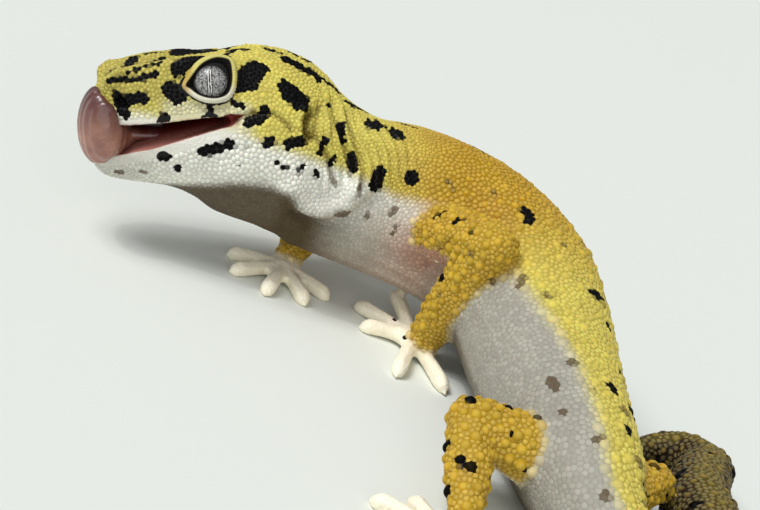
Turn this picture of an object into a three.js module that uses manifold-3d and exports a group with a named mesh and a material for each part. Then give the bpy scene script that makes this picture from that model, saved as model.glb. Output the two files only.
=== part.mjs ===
// Leopard gecko (Eublepharis macularius), life size, as a still museum model.
// Millimetres, +Z up, the floor at z = 0. The animal stands low, head raised and turned to its
// left, licking its snout; its trunk bends to the left and its tail curls forward on its right.
//
// The body is one loft from snout to tail tip, parted by thin plane cuts into head, neck, trunk
// and tail lengths. The limbs are tapered capsules let into it, and everything that dips below
// the floor is planed off there, which gives the small flats it rests on.

import * as THREE from 'three';
import { mergeVertices } from 'three/addons/utils/BufferGeometryUtils.js';
import Module from 'manifold-3d';

const wasm = await Module();
wasm.setup();

// ---------------------------------------------------------------- driving dimensions

const GAP = 0.3;              // width of the cuts that part one node from the next
const BODY_SIDES = 20;        // facets around the head, neck and trunk
const HEAD_SIDES = 22;
const HEAD_RINGS = 16;        // rings of facets along the head
const TAIL_SIDES = 12;        // facets around the tail
const LIMB_SIDES = 8;         // facets around arms and legs
const DIGIT_SIDES = 6;        // facets around fingers, toes and claws
const EYE_FACETS = [14, 8];   // of a ball: around, and from pole to pole
const TONGUE_FACETS = [9, 6];
const BULB_FACETS = [16, 9];
const PALM_FACETS = [8, 5];
const RIM_FACETS = [5, 18];   // of a lid's rim: round its thickness, and along it

// The head's own frame: origin between the ears at mouth height, x to the snout, y to the
// animal's left, z to the crown. The head looks down its snout a little and to its left.
const HEAD_ORIGIN = new THREE.Vector3(-18.6, -11.55, 21.75);
const HEAD_FORWARD = new THREE.Vector3(-0.855, -0.452, -0.255).normalize();
const HEAD_UP_HINT = new THREE.Vector3(-0.307, 0.0435, 0.951);

const EYE_RADIUS = 3.4;
const EYE_CENTRE = new THREE.Vector3(12.0, 4.7, 5.35);    // left eye, in the head's frame
const EYE_GAZE = new THREE.Vector3(0.25, 0.93, 0.27).normalize();
const LID_REACH = 1.95;                                    // eye centre to the lid rim's plane
const LID_LENGTH = 2.95;                                   // lid rim, half its length
const LID_HEIGHT = 2.65;                                   // lid rim, half its height
const LID_THICKNESS = 0.45;                                // half the rim's thickness

const MOUTH_CORNER = [8.4, 2.15];                          // x and z in the head's frame
const UPPER_LIP = [[13.2, 1.4], [17.9, 0.4], [20.8, 0.0], [24.0, -0.4], [30.0, -0.9]];
const LOWER_LIP = [[14.9, -0.85], [19.6, -2.75], [25.6, -4.45], [30.0, -4.9]];

// The tongue's three balls, in the head's frame: centre and half sizes.
const TONGUE_ROOT = { centre: [18.5, 0, -1.75], size: [7.0, 3.5, 0.7] };
const TONGUE_MIDDLE = { centre: [24.0, 0, -2.6], size: [3.4, 3.9, 1.4] };
const TONGUE_BULB = { centre: [25.0, 1.6, -0.8], size: [2.9, 4.4, 5.2] };
const JAW_HINGE = 8.2;        // the lower jaw is parted here, below the corners of the mouth
const JAW_FLOOR = -20;        // below the throat
const BEYOND_SNOUT = 30;      // ahead of the snout
const SLAB_WIDTH = 34;        // wider than the head

// Stations of the head, in its own frame:
// [x, y, height of the centre, half width, reach up, reach down]
const HEAD_STATIONS = [
  [26.40, 0, -1.4, 2.0, 2.2, 3.0],
  [26.00, 0, -1.3, 3.4, 4.7, 5.0],
  [25.10, 0, -1.2, 4.3, 6.5, 6.2],
  [23.50, 0, -1.0, 5.1, 7.5, 7.1],
  [20.50, 0, -0.8, 6.1, 8.4, 7.7],
  [17.00, 0, -0.6, 6.9, 9.0, 8.3],
  [13.50, 0, -0.6, 7.8, 9.5, 9.5],
  [10.00, 0, -1.0, 8.8, 10.5, 11.5],
  [6.00, 0, -1.4, 9.8, 11.1, 12.3],
  [2.00, 0.1, -2.3, 10.2, 11.3, 12.5],
  [-1.60, 0.8, -3.8, 9.9, 10.4, 12.2],
];

// Stations of the neck, trunk and tail, on the floor's axes:
// [x, y, z of the centre, half width, reach up, reach down]
const BODY_STATIONS = [
  [-11.4, -11.0, 18.3, 9.4, 8.9, 12.9],
  [-6.6, -10.2, 17.4, 9.0, 9.6, 12.0],
  [0.9, -7.7, 16.9, 9.8, 10.9, 12.0],
  [10.0, -6.9, 15.4, 10.6, 11.8, 11.3],
  [18.0, -11.2, 13.3, 11.0, 11.7, 10.7],
  [22.2, -19.0, 11.1, 10.5, 11.0, 9.9],
  [25.1, -28.0, 9.7, 9.7, 9.6, 9.4],
  [27.8, -37.2, 8.8, 8.4, 8.6, 9.0],
  [30.6, -46.2, 8.0, 7.3, 7.7, 8.2],
  [33.0, -52.3, 6.9, 5.6, 6.1, 7.05],
  [36.6, -57.0, 6.0, 4.6, 5.0, 6.15],
  [42.8, -58.5, 5.7, 4.8, 4.8, 5.9],
  [47.4, -54.0, 5.8, 5.2, 5.2, 6.0],
  [48.0, -45.5, 5.6, 4.8, 5.2, 5.8],
  [47.4, -37.0, 5.2, 4.3, 4.9, 5.4],
  [48.8, -29.0, 4.7, 4.0, 4.4, 4.9],
  [51.0, -22.0, 4.0, 3.7, 3.8, 4.2],
  [48.4, -17.0, 3.1, 2.8, 2.9, 3.3],
  [43.6, -18.6, 2.1, 1.9, 1.9, 2.3],
  [40.0, -22.2, 1.4, 0.8, 0.8, 1.45],
];

// Where the body is parted, in stations counted from the snout tip, with the rings of facets
// that each length gets.
const HEAD_END = 10;
const BODY_LENGTHS = [
  { name: 'neck', from: HEAD_END, to: 12.35, rings: 5, sides: BODY_SIDES },
  { name: 'chest', from: 12.35, to: 14.5, rings: 6, sides: BODY_SIDES },
  { name: 'belly', from: 14.5, to: 17.0, rings: 7, sides: BODY_SIDES },
  { name: 'hips', from: 17.0, to: 19.6, rings: 7, sides: BODY_SIDES },
  { name: 'tail_base', from: 19.6, to: 21.5, rings: 6, sides: TAIL_SIDES },
  { name: 'tail_bend', from: 21.5, to: 23.1, rings: 6, sides: TAIL_SIDES },
  { name: 'tail_middle', from: 23.1, to: 25.6, rings: 6, sides: TAIL_SIDES },
  { name: 'tail_curl', from: 25.6, to: 28.0, rings: 7, sides: TAIL_SIDES },
  { name: 'tail_tip', from: 28.0, to: 30.0, rings: 6, sides: TAIL_SIDES },
];

// Limbs: joints as [x, y, z], radii at their two ends, and digits as [heading in degrees,
// length from the middle of the palm, height of the tip]. A heading of 0 is +X, 90 is +Y.
const LIMBS = [
  {
    side: 'left', upper: 'upper_arm', lower: 'forearm', end: 'hand',
    root: [4.0, -13.4, 16.6], bend: [12.9, -22.6, 20.6], ankle: [10.4, -17.2, 3.6],
    thick: [4.2, 3.5, 3.6, 2.8], palm: [8.9, -15.2, 1.5], palmSize: [3.3, 2.9, 1.7],
    digits: [[118, 10.6, 3.2], [153, 10.7, 0.7], [191, 7.8, 0.7], [267, 11.6, 0.7], [302, 12.0, 0.7]],
  },
  {
    side: 'right', upper: 'upper_arm', lower: 'forearm', end: 'hand',
    root: [-0.6, -1.6, 15.6], bend: [-7.6, 7.2, 13.8], ankle: [-11.7, -7.4, 3.3],
    thick: [4.2, 3.4, 3.4, 2.6], palm: [-11.8, -10.2, 1.3], palmSize: [2.9, 2.8, 1.45],
    digits: [[345, 8.2, 0.7], [306, 9.0, 0.7], [268, 9.6, 0.7], [230, 9.6, 0.7], [193, 8.4, 0.7]],
  },
  {
    side: 'left', upper: 'thigh', lower: 'shank', end: 'foot',
    root: [27.6, -46.6, 7.8], bend: [16.8, -48.2, 9.2], ankle: [19.6, -58.6, 3.0],
    thick: [4.6, 3.1, 3.0, 1.9], palm: [18.4, -60.6, 1.3], palmSize: [2.7, 2.9, 1.45],
    digits: [[128, 7.6, 0.7], [162, 9.4, 0.7], [194, 10.8, 0.7], [226, 10.6, 0.7], [266, 8.6, 0.7]],
  },
  {
    side: 'right', upper: 'thigh', lower: 'shank', end: 'foot',
    root: [33.6, -50.0, 7.0], bend: [40.4, -40.2, 7.9], ankle: [40.6, -32.4, 3.0],
    thick: [3.6, 2.6, 2.5, 1.8], palm: [40.6, -30.6, 1.3], palmSize: [2.2, 2.6, 1.45],
    digits: [[150, 5.4, 0.7], [118, 6.2, 0.7], [93, 6.8, 0.7], [68, 6.2, 0.7], [38, 5.2, 0.7]],
  },
];
// A digit's outline: [share of its length, radius]. It ends in a short blunt claw.
const DIGIT_OUTLINE = [
  [0, 0], [0, 1.2], [0.45, 1.1], [0.8, 1.2], [0.93, 0.85], [0.94, 0.35], [1, 0.2], [1, 0],
];
const JOINT_DROP = 1.0;       // from elbow or knee down to where the lower length begins
const CLAW_DROP = 0.35;       // how far a claw's tip hangs below its digit's axis
const CLAW_REACH = 1.2;       // length of the claw that hangs
const DIGIT_START = 1.2;      // from the middle of the palm to where a digit begins
const DIGIT_ROOT = 0.9;       // a digit begins at this share of the palm's height,
const DIGIT_ARCH = 0.95;      // and arches up to this share of its higher end
const ARCH_AT = 0.6;          // at this share of its length
const UPPER_SWELL = 0.15;     // how much the middle of an upper limb is fatter than a cone
const LOWER_SWELL = 0.45;
const FLOOR_BLOCK = [300, 300, 20];     // the block that planes everything off at the floor

// ---------------------------------------------------------------- finishes

const finish = (color, roughness) => new THREE.MeshStandardMaterial({ color, roughness });
const FINISHES = {
  skin_yellow: finish(0xc9a944, 0.7),
  skin_pale: finish(0xd9d3c0, 0.65),
  tail_brown: finish(0x6d5120, 0.6),
  tongue_pink: finish(0xa06058, 0.25),
  eye_gloss: finish(0x8d8f92, 0.08),
};

// ---------------------------------------------------------------- frames and stations

const headLeft = new THREE.Vector3().crossVectors(HEAD_UP_HINT, HEAD_FORWARD).normalize();
const headUp = new THREE.Vector3().crossVectors(HEAD_FORWARD, headLeft);
const headMatrix = new THREE.Matrix4()
  .makeBasis(HEAD_FORWARD, headLeft, headUp)
  .setPosition(HEAD_ORIGIN);
const headInverse = headMatrix.clone().invert();
const worldUp = new THREE.Vector3(0, 0, 1);

const inHead = (x, y, z) => new THREE.Vector3(x, y, z).applyMatrix4(headMatrix);

const centres = [
  ...HEAD_STATIONS.map(([x, y, z]) => inHead(x, y, z)),
  ...BODY_STATIONS.map(([x, y, z]) => new THREE.Vector3(x, y, z)),
];
const girths = [
  ...HEAD_STATIONS.map(([, , , half, up, down]) => new THREE.Vector3(half, up, down)),
  ...BODY_STATIONS.map(([, , , half, up, down]) => new THREE.Vector3(half, up, down)),
];
const spine = new THREE.CatmullRomCurve3(centres, false, 'catmullrom', 0.5);
const girth = new THREE.CatmullRomCurve3(girths, false, 'catmullrom', 0.5);
const LAST_STATION = centres.length - 1;
const FIRST_BODY = HEAD_STATIONS.length;

const clamp01 = (value) => Math.min(1, Math.max(0, value));
const smooth = (value) => clamp01(value) ** 2 * (3 - 2 * clamp01(value));
const bump = (value, width) => Math.exp(-((value / width) ** 2));

// Frame of the body at a station: its rings stand square to the head's axis as far as the
// ears, and square to the spine from the neck back.
function frameAt(station) {
  const t = station / LAST_STATION;
  const ease = smooth((station - 6) / 6);
  const along = HEAD_FORWARD.clone().negate().lerp(spine.getTangent(t), ease).normalize();
  const hint = headUp.clone().lerp(worldUp, smooth((station - FIRST_BODY + 2) / 4));
  const left = new THREE.Vector3().crossVectors(along, hint).normalize();
  const up = new THREE.Vector3().crossVectors(left, along);
  return { centre: spine.getPoint(t), along, left, up, size: girth.getPoint(t) };
}

// The sections' exponents: 2 is an ellipse. The snout is flat on top, with full cheeks.
const squareUpper = (station) => 2.15 + 1.75 * smooth((8 - station) / 4.5);
const squareLower = (station) => 2.05 + 0.3 * smooth((11 - station) / 3);

// ---------------------------------------------------------------- relief of the head

// Brow and snout ridges, the trough between them, and the fall of the cheek below the eye.
function headRelief(point) {
  const p = point.clone().applyMatrix4(headInverse);
  const side = Math.abs(p.y);
  const overMouth = smooth((p.z - 2.5) / 3);
  const ridgeLine = 2.6 + 3.4 * smooth((24.5 - p.x) / 12);
  const alongSnout = smooth((27 - p.x) / 4) * smooth((p.x - 6.5) / 5);
  const brow = bump(p.x - 12.6, 4.2);
  const ridge = bump(side - ridgeLine, 1.5) * alongSnout * (0.5 + 0.75 * brow);
  const trough = bump(side, 1.9) * alongSnout * 0.55;
  p.z += overMouth * (ridge - trough);
  const cheek = bump(p.x - 3, 5) * bump(p.z + 3.5, 3.5) * 0.5;
  p.y += Math.sign(p.y) * cheek;
  return p.applyMatrix4(headMatrix);
}

// ---------------------------------------------------------------- shapes

const raised = (value, power) => Math.sign(value) * Math.abs(value) ** power;

// A length of the body: a closed cylinder whose vertices are laid along the spine. Its two end
// rings step back by half the parting gap. grow makes it fatter, for cutting its neighbours.
function bodyLength(from, to, rings, sides, grow = 0, shorten = GAP / 2) {
  const geometry = new THREE.CylinderGeometry(1, 1, 1, sides, rings);
  const place = geometry.attributes.position;
  for (let i = 0; i < place.count; i += 1) {
    const unit = new THREE.Vector3().fromBufferAttribute(place, i);
    const share = clamp01(unit.y + 0.5);
    const station = from + (to - from) * share;
    const { centre, along, left, up, size } = frameAt(station);
    const end = share < 0.001 ? 1 : share > 0.999 ? -1 : 0;
    const isTip = station < 0.001 || station > LAST_STATION - 0.001;
    const radius = Math.hypot(unit.x, unit.z);
    const power = 2 / (unit.z > 0 ? squareUpper(station) : squareLower(station));
    const across = radius * raised(unit.x / (radius || 1), power);
    const rise = radius * raised(unit.z / (radius || 1), power);
    const reach = (rise > 0 ? size.y : size.z) + grow;
    const point = centre.clone()
      .addScaledVector(left, across * (size.x + grow))
      .addScaledVector(up, rise * reach)
      .addScaledVector(along, isTip ? 0 : end * shorten);
    const shaped = station < FIRST_BODY ? headRelief(point) : point;
    place.setXYZ(i, shaped.x, shaped.y, shaped.z);
  }
  return geometry;
}

// A tapered capsule between two points. swell fattens its middle; flat squares off its start.
function taper(start, stop, radii, swell, flat) {
  const geometry = new THREE.CapsuleGeometry(1, 1, 2, LIMB_SIDES, 2);
  const turn = new THREE.Quaternion().setFromUnitVectors(
    new THREE.Vector3(0, 1, 0),
    stop.clone().sub(start).normalize(),
  );
  const place = geometry.attributes.position;
  for (let i = 0; i < place.count; i += 1) {
    const unit = new THREE.Vector3().fromBufferAttribute(place, i);
    const share = clamp01(unit.y + 0.5);
    const radius = radii[0] + (radii[1] - radii[0]) * share + swell * Math.sin(Math.PI * share);
    const before = flat ? 0 : Math.min(unit.y + 0.5, 0);
    const beyond = Math.max(unit.y - 0.5, 0) + before;
    const point = new THREE.Vector3(unit.x * radius, beyond * radius, unit.z * radius)
      .applyQuaternion(turn)
      .add(start.clone().lerp(stop, share));
    place.setXYZ(i, point.x, point.y, point.z);
  }
  return solidOf(geometry);
}

function ball(centre, size, facets) {
  const geometry = new THREE.SphereGeometry(1, ...facets);
  geometry.scale(...size);
  geometry.translate(...centre);
  return geometry;
}

// ---------------------------------------------------------------- solids

function solidOf(geometry) {
  const bare = geometry.clone();
  bare.deleteAttribute('normal');
  bare.deleteAttribute('uv');
  const merged = mergeVertices(bare, 1e-4);
  const mesh = new wasm.Mesh({
    numProp: 3,
    vertProperties: Float32Array.from(merged.attributes.position.array),
    triVerts: Uint32Array.from(merged.index.array),
  });
  return new wasm.Manifold(mesh);
}

function geometryOf(solid) {
  const mesh = solid.getMesh();
  const geometry = new THREE.BufferGeometry();
  const corners = mesh.vertProperties;
  geometry.setAttribute('position', new THREE.Float32BufferAttribute(corners, mesh.numProp));
  geometry.setIndex(Array.from(mesh.triVerts));
  geometry.computeVertexNormals();
  return geometry;
}

const joined = (solids) => solids.reduce((sum, next) => sum.add(next));
const cutBy = (solid, cutters) => cutters.reduce((left, cutter) => left.subtract(cutter), solid);

// Everything under the floor, to plane the touching parts flat.
const underFloor = solidOf(
  new THREE.BoxGeometry(...FLOOR_BLOCK).translate(0, 0, -FLOOR_BLOCK[2] / 2),
);

// ---------------------------------------------------------------- eyes and lids

const mirrored = (vector, side) => new THREE.Vector3(vector.x, vector.y * side, vector.z);

function eyeBall(side, grow = 0) {
  const centre = inHead(...mirrored(EYE_CENTRE, side).toArray());
  const radius = EYE_RADIUS + grow;
  return solidOf(ball(centre.toArray(), [radius, radius, radius], EYE_FACETS));
}

function lidRim(side) {
  const ring = new THREE.TorusGeometry(1, LID_THICKNESS / LID_HEIGHT, ...RIM_FACETS);
  ring.scale(LID_LENGTH, LID_HEIGHT, LID_HEIGHT);
  const gaze = mirrored(EYE_GAZE, side);
  const centre = mirrored(EYE_CENTRE, side).addScaledVector(gaze, LID_REACH);
  const length = new THREE.Vector3(1, 0, 0).addScaledVector(gaze, -gaze.x).normalize();
  const height = new THREE.Vector3().crossVectors(gaze, length);
  ring.applyMatrix4(new THREE.Matrix4().makeBasis(length, height, gaze).setPosition(centre));
  return solidOf(ring.applyMatrix4(headMatrix));
}

// ---------------------------------------------------------------- head, jaw and tongue

// A slab as wide as the head, with the given outline in side view.
function sideSlab(corners) {
  const outline = new THREE.Shape(corners.map(([x, z]) => new THREE.Vector2(x, z)));
  const slab = new THREE.ExtrudeGeometry(outline, { depth: SLAB_WIDTH, bevelEnabled: false });
  slab.rotateX(Math.PI / 2).translate(0, SLAB_WIDTH / 2, 0);
  return solidOf(slab.applyMatrix4(headMatrix));
}

// Everything below the upper lip, and everything below the lower lip, ahead of the jaw's hinge.
const upperLipCut = () => sideSlab([
  [JAW_HINGE - GAP, MOUTH_CORNER[1]], MOUTH_CORNER, ...UPPER_LIP,
  [BEYOND_SNOUT, JAW_FLOOR], [JAW_HINGE - GAP, JAW_FLOOR],
]);
const lowerJawRoom = () => sideSlab([
  [JAW_HINGE, MOUTH_CORNER[1] - GAP], ...LOWER_LIP,
  [BEYOND_SNOUT, JAW_FLOOR], [JAW_HINGE, JAW_FLOOR],
]);

function wholeHead(grow) {
  return solidOf(bodyLength(0, HEAD_END, HEAD_RINGS, HEAD_SIDES, grow));
}

function headParts() {
  const whole = wholeHead(0);
  const lids = [1, -1].map((side) => lidRim(side));
  const sockets = [1, -1].map((side) => eyeBall(side, GAP));
  return {
    head: cutBy(joined([whole, ...lids]), [upperLipCut(), ...sockets]),
    lower_jaw: whole.intersect(lowerJawRoom()),
  };
}

// The tongue lies along the floor of the mouth, and its bulb is pressed up over the snout.
function tongueSolid() {
  const root = ball(TONGUE_ROOT.centre, TONGUE_ROOT.size, TONGUE_FACETS);
  const middle = ball(TONGUE_MIDDLE.centre, TONGUE_MIDDLE.size, TONGUE_FACETS);
  const bulb = ball(TONGUE_BULB.centre, TONGUE_BULB.size, BULB_FACETS);
  const parts = [root, middle, bulb].map((shape) => solidOf(shape.applyMatrix4(headMatrix)));
  const around = wholeHead(GAP);
  const snout = around.subtract(upperLipCut());
  const jaw = around.intersect(lowerJawRoom());
  return cutBy(joined(parts), [snout, jaw]);
}

// ---------------------------------------------------------------- limbs

// A digit with its claw: a turned shape bent along the curve from the palm to its tip.
function digit(curve) {
  const length = curve.getLength();
  const outline = DIGIT_OUTLINE.map(([share, radius]) => new THREE.Vector2(radius, share));
  const shape = new THREE.LatheGeometry(outline, DIGIT_SIDES);
  const place = shape.attributes.position;
  for (let i = 0; i < place.count; i += 1) {
    const unit = new THREE.Vector3().fromBufferAttribute(place, i);
    const along = curve.getTangentAt(unit.y);
    const across = new THREE.Vector3().crossVectors(along, worldUp).normalize();
    const rise = new THREE.Vector3().crossVectors(across, along);
    const drop = CLAW_DROP * smooth((unit.y * length - length + CLAW_REACH) / CLAW_REACH);
    const point = curve.getPointAt(unit.y)
      .addScaledVector(across, unit.x)
      .addScaledVector(rise, unit.z - drop);
    place.setXYZ(i, point.x, point.y, point.z);
  }
  return solidOf(shape);
}

// A palm or sole with its five digits.
function extremity(limb) {
  const [x, y, z] = limb.palm;
  const pieces = [solidOf(ball(limb.palm, limb.palmSize, PALM_FACETS))];
  for (const [heading, length, lift] of limb.digits) {
    const angle = THREE.MathUtils.degToRad(heading);
    const at = (reach, height) => new THREE.Vector3(
      x + reach * Math.cos(angle), y + reach * Math.sin(angle), height,
    );
    const arch = Math.max(lift, z) * DIGIT_ARCH;
    pieces.push(digit(new THREE.QuadraticBezierCurve3(
      at(DIGIT_START, z * DIGIT_ROOT), at(length * ARCH_AT, arch), at(length, lift),
    )));
  }
  return joined(pieces);
}

// The lower length of a limb begins a little below the joint, which belongs to the upper one.
function limbParts(limb, trunkCutters) {
  const [rootRadius, bendRadius, lowRadius, ankleRadius] = limb.thick;
  const [root, bend, ankle] = [limb.root, limb.bend, limb.ankle].map(
    (joint) => new THREE.Vector3(...joint),
  );
  const down = ankle.clone().sub(bend).normalize();
  const lower = (grow) => taper(
    bend.clone().addScaledVector(down, JOINT_DROP - grow), ankle,
    [lowRadius + grow, ankleRadius + grow], LOWER_SWELL, true,
  );
  const upper = taper(root, bend, [rootRadius, bendRadius], UPPER_SWELL, false);
  return {
    [`${limb.upper}_${limb.side}`]: cutBy(upper, [lower(GAP), ...trunkCutters]),
    [`${limb.lower}_${limb.side}`]: cutBy(lower(0), trunkCutters),
    [`${limb.end}_${limb.side}`]: extremity(limb).subtract(lower(GAP)),
  };
}

// ---------------------------------------------------------------- the whole animal

const group = new THREE.Group();

function addMesh(name, solid, material) {
  const mesh = new THREE.Mesh(geometryOf(solid.subtract(underFloor)), material);
  mesh.name = name;
  group.add(mesh);
}

for (const [name, solid] of Object.entries(headParts())) {
  addMesh(name, solid, name === 'head' ? FINISHES.skin_yellow : FINISHES.skin_pale);
}
addMesh('tongue', tongueSolid(), FINISHES.tongue_pink);
addMesh('eye_left', eyeBall(1), FINISHES.eye_gloss);
addMesh('eye_right', eyeBall(-1), FINISHES.eye_gloss);

for (const { name, from, to, rings, sides } of BODY_LENGTHS) {
  const solid = solidOf(bodyLength(from, to, rings, sides));
  addMesh(name, solid, name.startsWith('tail') ? FINISHES.tail_brown : FINISHES.skin_yellow);
}

// What the limbs are let into: the lengths from neck to hips, one gap fatter and uncut.
const trunkCutters = BODY_LENGTHS.slice(0, 5).map(({ from, to, rings, sides }) => (
  solidOf(bodyLength(from, to, rings, sides, GAP, -GAP))
));
for (const limb of LIMBS) {
  for (const [name, solid] of Object.entries(limbParts(limb, trunkCutters))) {
    const pale = name.startsWith('hand') || name.startsWith('foot');
    addMesh(name, solid, pale ? FINISHES.skin_pale : FINISHES.skin_yellow);
  }
}

// The model is centred over the origin.
const box = new THREE.Box3().setFromObject(group);
const middle = box.getCenter(new THREE.Vector3());
group.position.set(-middle.x, -middle.y, 0);

export default group;
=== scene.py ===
# %% [markdown]
# # A leopard gecko, life size
#
# This file dresses the solid model of a leopard gecko as a museum would: a soft skin over the
# solid body, small round scales and larger pimple-like ones over the skin, wet eyes, lids, a
# wet tongue and black spots on yellow. Each step is a cell: a few sentences on what the piece
# is on the animal and how it could be made, and then the code that makes it.
#
# The solids are loaded first. They never move, so their boxes are what everything is
# measured from.

# %% Load the solid model
import math

import bmesh
import bpy
import numpy as np
from mathutils import Matrix, Vector
from mathutils.bvhtree import BVHTree
from mathutils.kdtree import KDTree


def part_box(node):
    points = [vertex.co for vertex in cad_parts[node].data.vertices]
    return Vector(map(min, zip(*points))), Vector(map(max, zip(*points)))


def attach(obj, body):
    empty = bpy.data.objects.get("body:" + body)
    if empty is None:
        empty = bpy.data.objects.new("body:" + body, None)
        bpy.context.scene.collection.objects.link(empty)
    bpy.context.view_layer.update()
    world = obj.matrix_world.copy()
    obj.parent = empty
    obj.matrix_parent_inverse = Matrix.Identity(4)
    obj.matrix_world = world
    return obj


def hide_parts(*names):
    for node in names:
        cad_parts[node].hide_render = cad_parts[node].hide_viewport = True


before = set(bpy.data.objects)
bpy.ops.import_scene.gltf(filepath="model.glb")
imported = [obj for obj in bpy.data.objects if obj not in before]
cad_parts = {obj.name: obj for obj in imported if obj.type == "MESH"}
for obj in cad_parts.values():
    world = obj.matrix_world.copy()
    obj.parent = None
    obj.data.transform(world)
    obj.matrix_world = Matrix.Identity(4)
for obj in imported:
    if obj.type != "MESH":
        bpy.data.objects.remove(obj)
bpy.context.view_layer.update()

MM = 0.001                     # sizes below are in millimetres; Blender's own unit is a metre

# %% [markdown]
# ## Measuring axes
#
# The head is turned and tipped, so its features are easier to place on axes of its own:
# x runs to the snout, y to the animal's left and z to the crown. The two eyeballs of the solid
# model say where those axes sit. The trunk, tail and legs keep the floor's axes, with the
# origin where the drawing had it, and a smooth line through the trunk and tail gives every
# point of the body two more numbers: how far along it is, and how far round from the back.

# %% Axes of the head and of the floor
def unit(v):
    return np.asarray(v, float) / np.linalg.norm(v)


HEAD_FORWARD = unit([-0.855, -0.452, -0.255])
HEAD_LEFT = unit(np.cross([-0.307, 0.0435, 0.951], HEAD_FORWARD))
HEAD_UP = np.cross(HEAD_FORWARD, HEAD_LEFT)
HEAD_AXES = np.array([HEAD_FORWARD, HEAD_LEFT, HEAD_UP])
DRAWN_HEAD = np.array([-18.6, -11.55, 21.75])     # the head's origin on the floor's axes
EYE_PLACE = np.array([12.0, 4.7, 5.35])           # the left eye, on the head's axes
EYE_GAZE = unit([0.25, 0.93, 0.27])
MIRROR = np.array([1.0, -1.0, 1.0])               # from the left side of the head to the right


def middle(node):
    low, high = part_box(node)
    return np.array((low + high) / 2) / MM


between_eyes = (middle("eye_left") + middle("eye_right")) / 2
head_origin = between_eyes - EYE_PLACE[[0, 2]] @ HEAD_AXES[[0, 2]]
floor_origin = head_origin - DRAWN_HEAD


def on_head(points):
    """Points given on the head's axes, as places in the model."""
    return head_origin + np.asarray(points, float) @ HEAD_AXES


def to_head(places):
    return (np.asarray(places) - head_origin) @ HEAD_AXES.T


print("head origin", head_origin.round(2), "floor origin", floor_origin.round(2))

# %% The line through the trunk and tail
HEAD_MIDDLES = [(6.0, 0.0, -1.4), (2.0, 0.1, -2.3), (-1.6, 0.8, -3.8)]
TRUNK_MIDDLES = [
    (-11.4, -11.0, 18.3), (-6.6, -10.2, 17.4), (0.9, -7.7, 16.9), (10.0, -6.9, 15.4),
    (18.0, -11.2, 13.3), (22.2, -19.0, 11.1), (25.1, -28.0, 9.7), (27.8, -37.2, 8.8),
    (30.6, -46.2, 8.0), (33.0, -52.3, 6.9), (36.6, -57.0, 6.0), (42.8, -58.5, 5.7),
    (47.4, -54.0, 5.8), (48.0, -45.5, 5.6), (47.4, -37.0, 5.2), (48.8, -29.0, 4.7),
    (51.0, -22.0, 4.0), (48.4, -17.0, 3.1), (43.6, -18.6, 2.1), (40.0, -22.2, 1.4),
]
STEPS = 16                     # points on the line between two middles
print(len(HEAD_MIDDLES) + len(TRUNK_MIDDLES), "middles from the head to the tip of the tail")


# %% A smooth line through points
def smooth_line(points, closed=False):
    """A Catmull-Rom curve through the points, STEPS to a span."""
    points = np.asarray(points, float)
    ends = points[[-1, 0, 1]] if closed else [2 * points[0] - points[1],
                                              2 * points[-1] - points[-2]]
    padded = np.vstack([ends[:1], points, ends[1:]])
    t = np.arange(STEPS)[:, None] / STEPS
    spans = []
    for a, b, c, d in zip(padded, padded[1:], padded[2:], padded[3:]):
        spans.append(0.5 * (2 * b + (c - a) * t + (2 * a - 5 * b + 4 * c - d) * t ** 2
                            + (3 * b - a - 3 * c + d) * t ** 3))
    return np.vstack(spans if closed else spans + [points[-1:]])


# %% The spine and the places along it
spine = smooth_line(np.vstack([on_head(HEAD_MIDDLES), floor_origin + TRUNK_MIDDLES]))
spine_at = np.concatenate([[0], np.cumsum(np.linalg.norm(np.diff(spine, axis=0), axis=1))])
spine_along = np.gradient(spine, axis=0)
spine_along /= np.linalg.norm(spine_along, axis=1)[:, None]
spine_left = np.cross(spine_along, [0, 0, 1])
spine_left /= np.linalg.norm(spine_left, axis=1)[:, None]
spine_up = np.cross(spine_left, spine_along)


def tree_of(points):
    """A tree that finds the nearest of the points to any place quickly."""
    tree = KDTree(len(points))
    for i, p in enumerate(points):
        tree.insert(p, i)
    tree.balance()
    return tree


def nearest_of(tree, places):
    """For each place, the number of the nearest point in the tree."""
    return np.array([tree.find(p)[1] for p in places])


def body_place(places):
    """How far along the spine each place is, and its angle round from the back, left positive."""
    i = nearest_of(tree_of(spine), places)
    off = places - spine[i]
    sideways = (off * spine_left[i]).sum(1)
    upwards = (off * spine_up[i]).sum(1)
    return spine_at[i], np.degrees(np.arctan2(sideways, upwards))


print(f"spine {spine_at[-1]:.0f} mm long from the back of the head")

# %% [markdown]
# ## Camera, floor and light
#
# The animal looks best from a little above its left side, close, with the head turned across
# the view. A camera could be aimed by a constraint, but here it is put on its own three axes,
# so that it can be rolled: the roll is as large as the slope the animal stood on. The floor is
# one pale plane, big enough to fill the view. Light comes from a large soft panel at the upper
# left, a weaker one in front, and an even white sky that keeps the shadows open.

# %% Camera
ELEVATION = math.radians(20)   # the camera looks down by this
ROLL = math.radians(24)        # and is rolled by this
DISTANCE = 187.0               # mm from the camera to the place it is aimed at
AIM = floor_origin + [0, 0, 5.2]
LENS, SENSOR = 59.59, 36.0     # focal length and width of the film, in the usual millimetres

view_forward = np.array([0, math.cos(ELEVATION), -math.sin(ELEVATION)])
level_right = np.array([1.0, 0, 0])
level_up = np.cross(level_right, view_forward)
view_right = level_right * math.cos(ROLL) + level_up * math.sin(ROLL)
view_up = level_up * math.cos(ROLL) - level_right * math.sin(ROLL)

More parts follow.
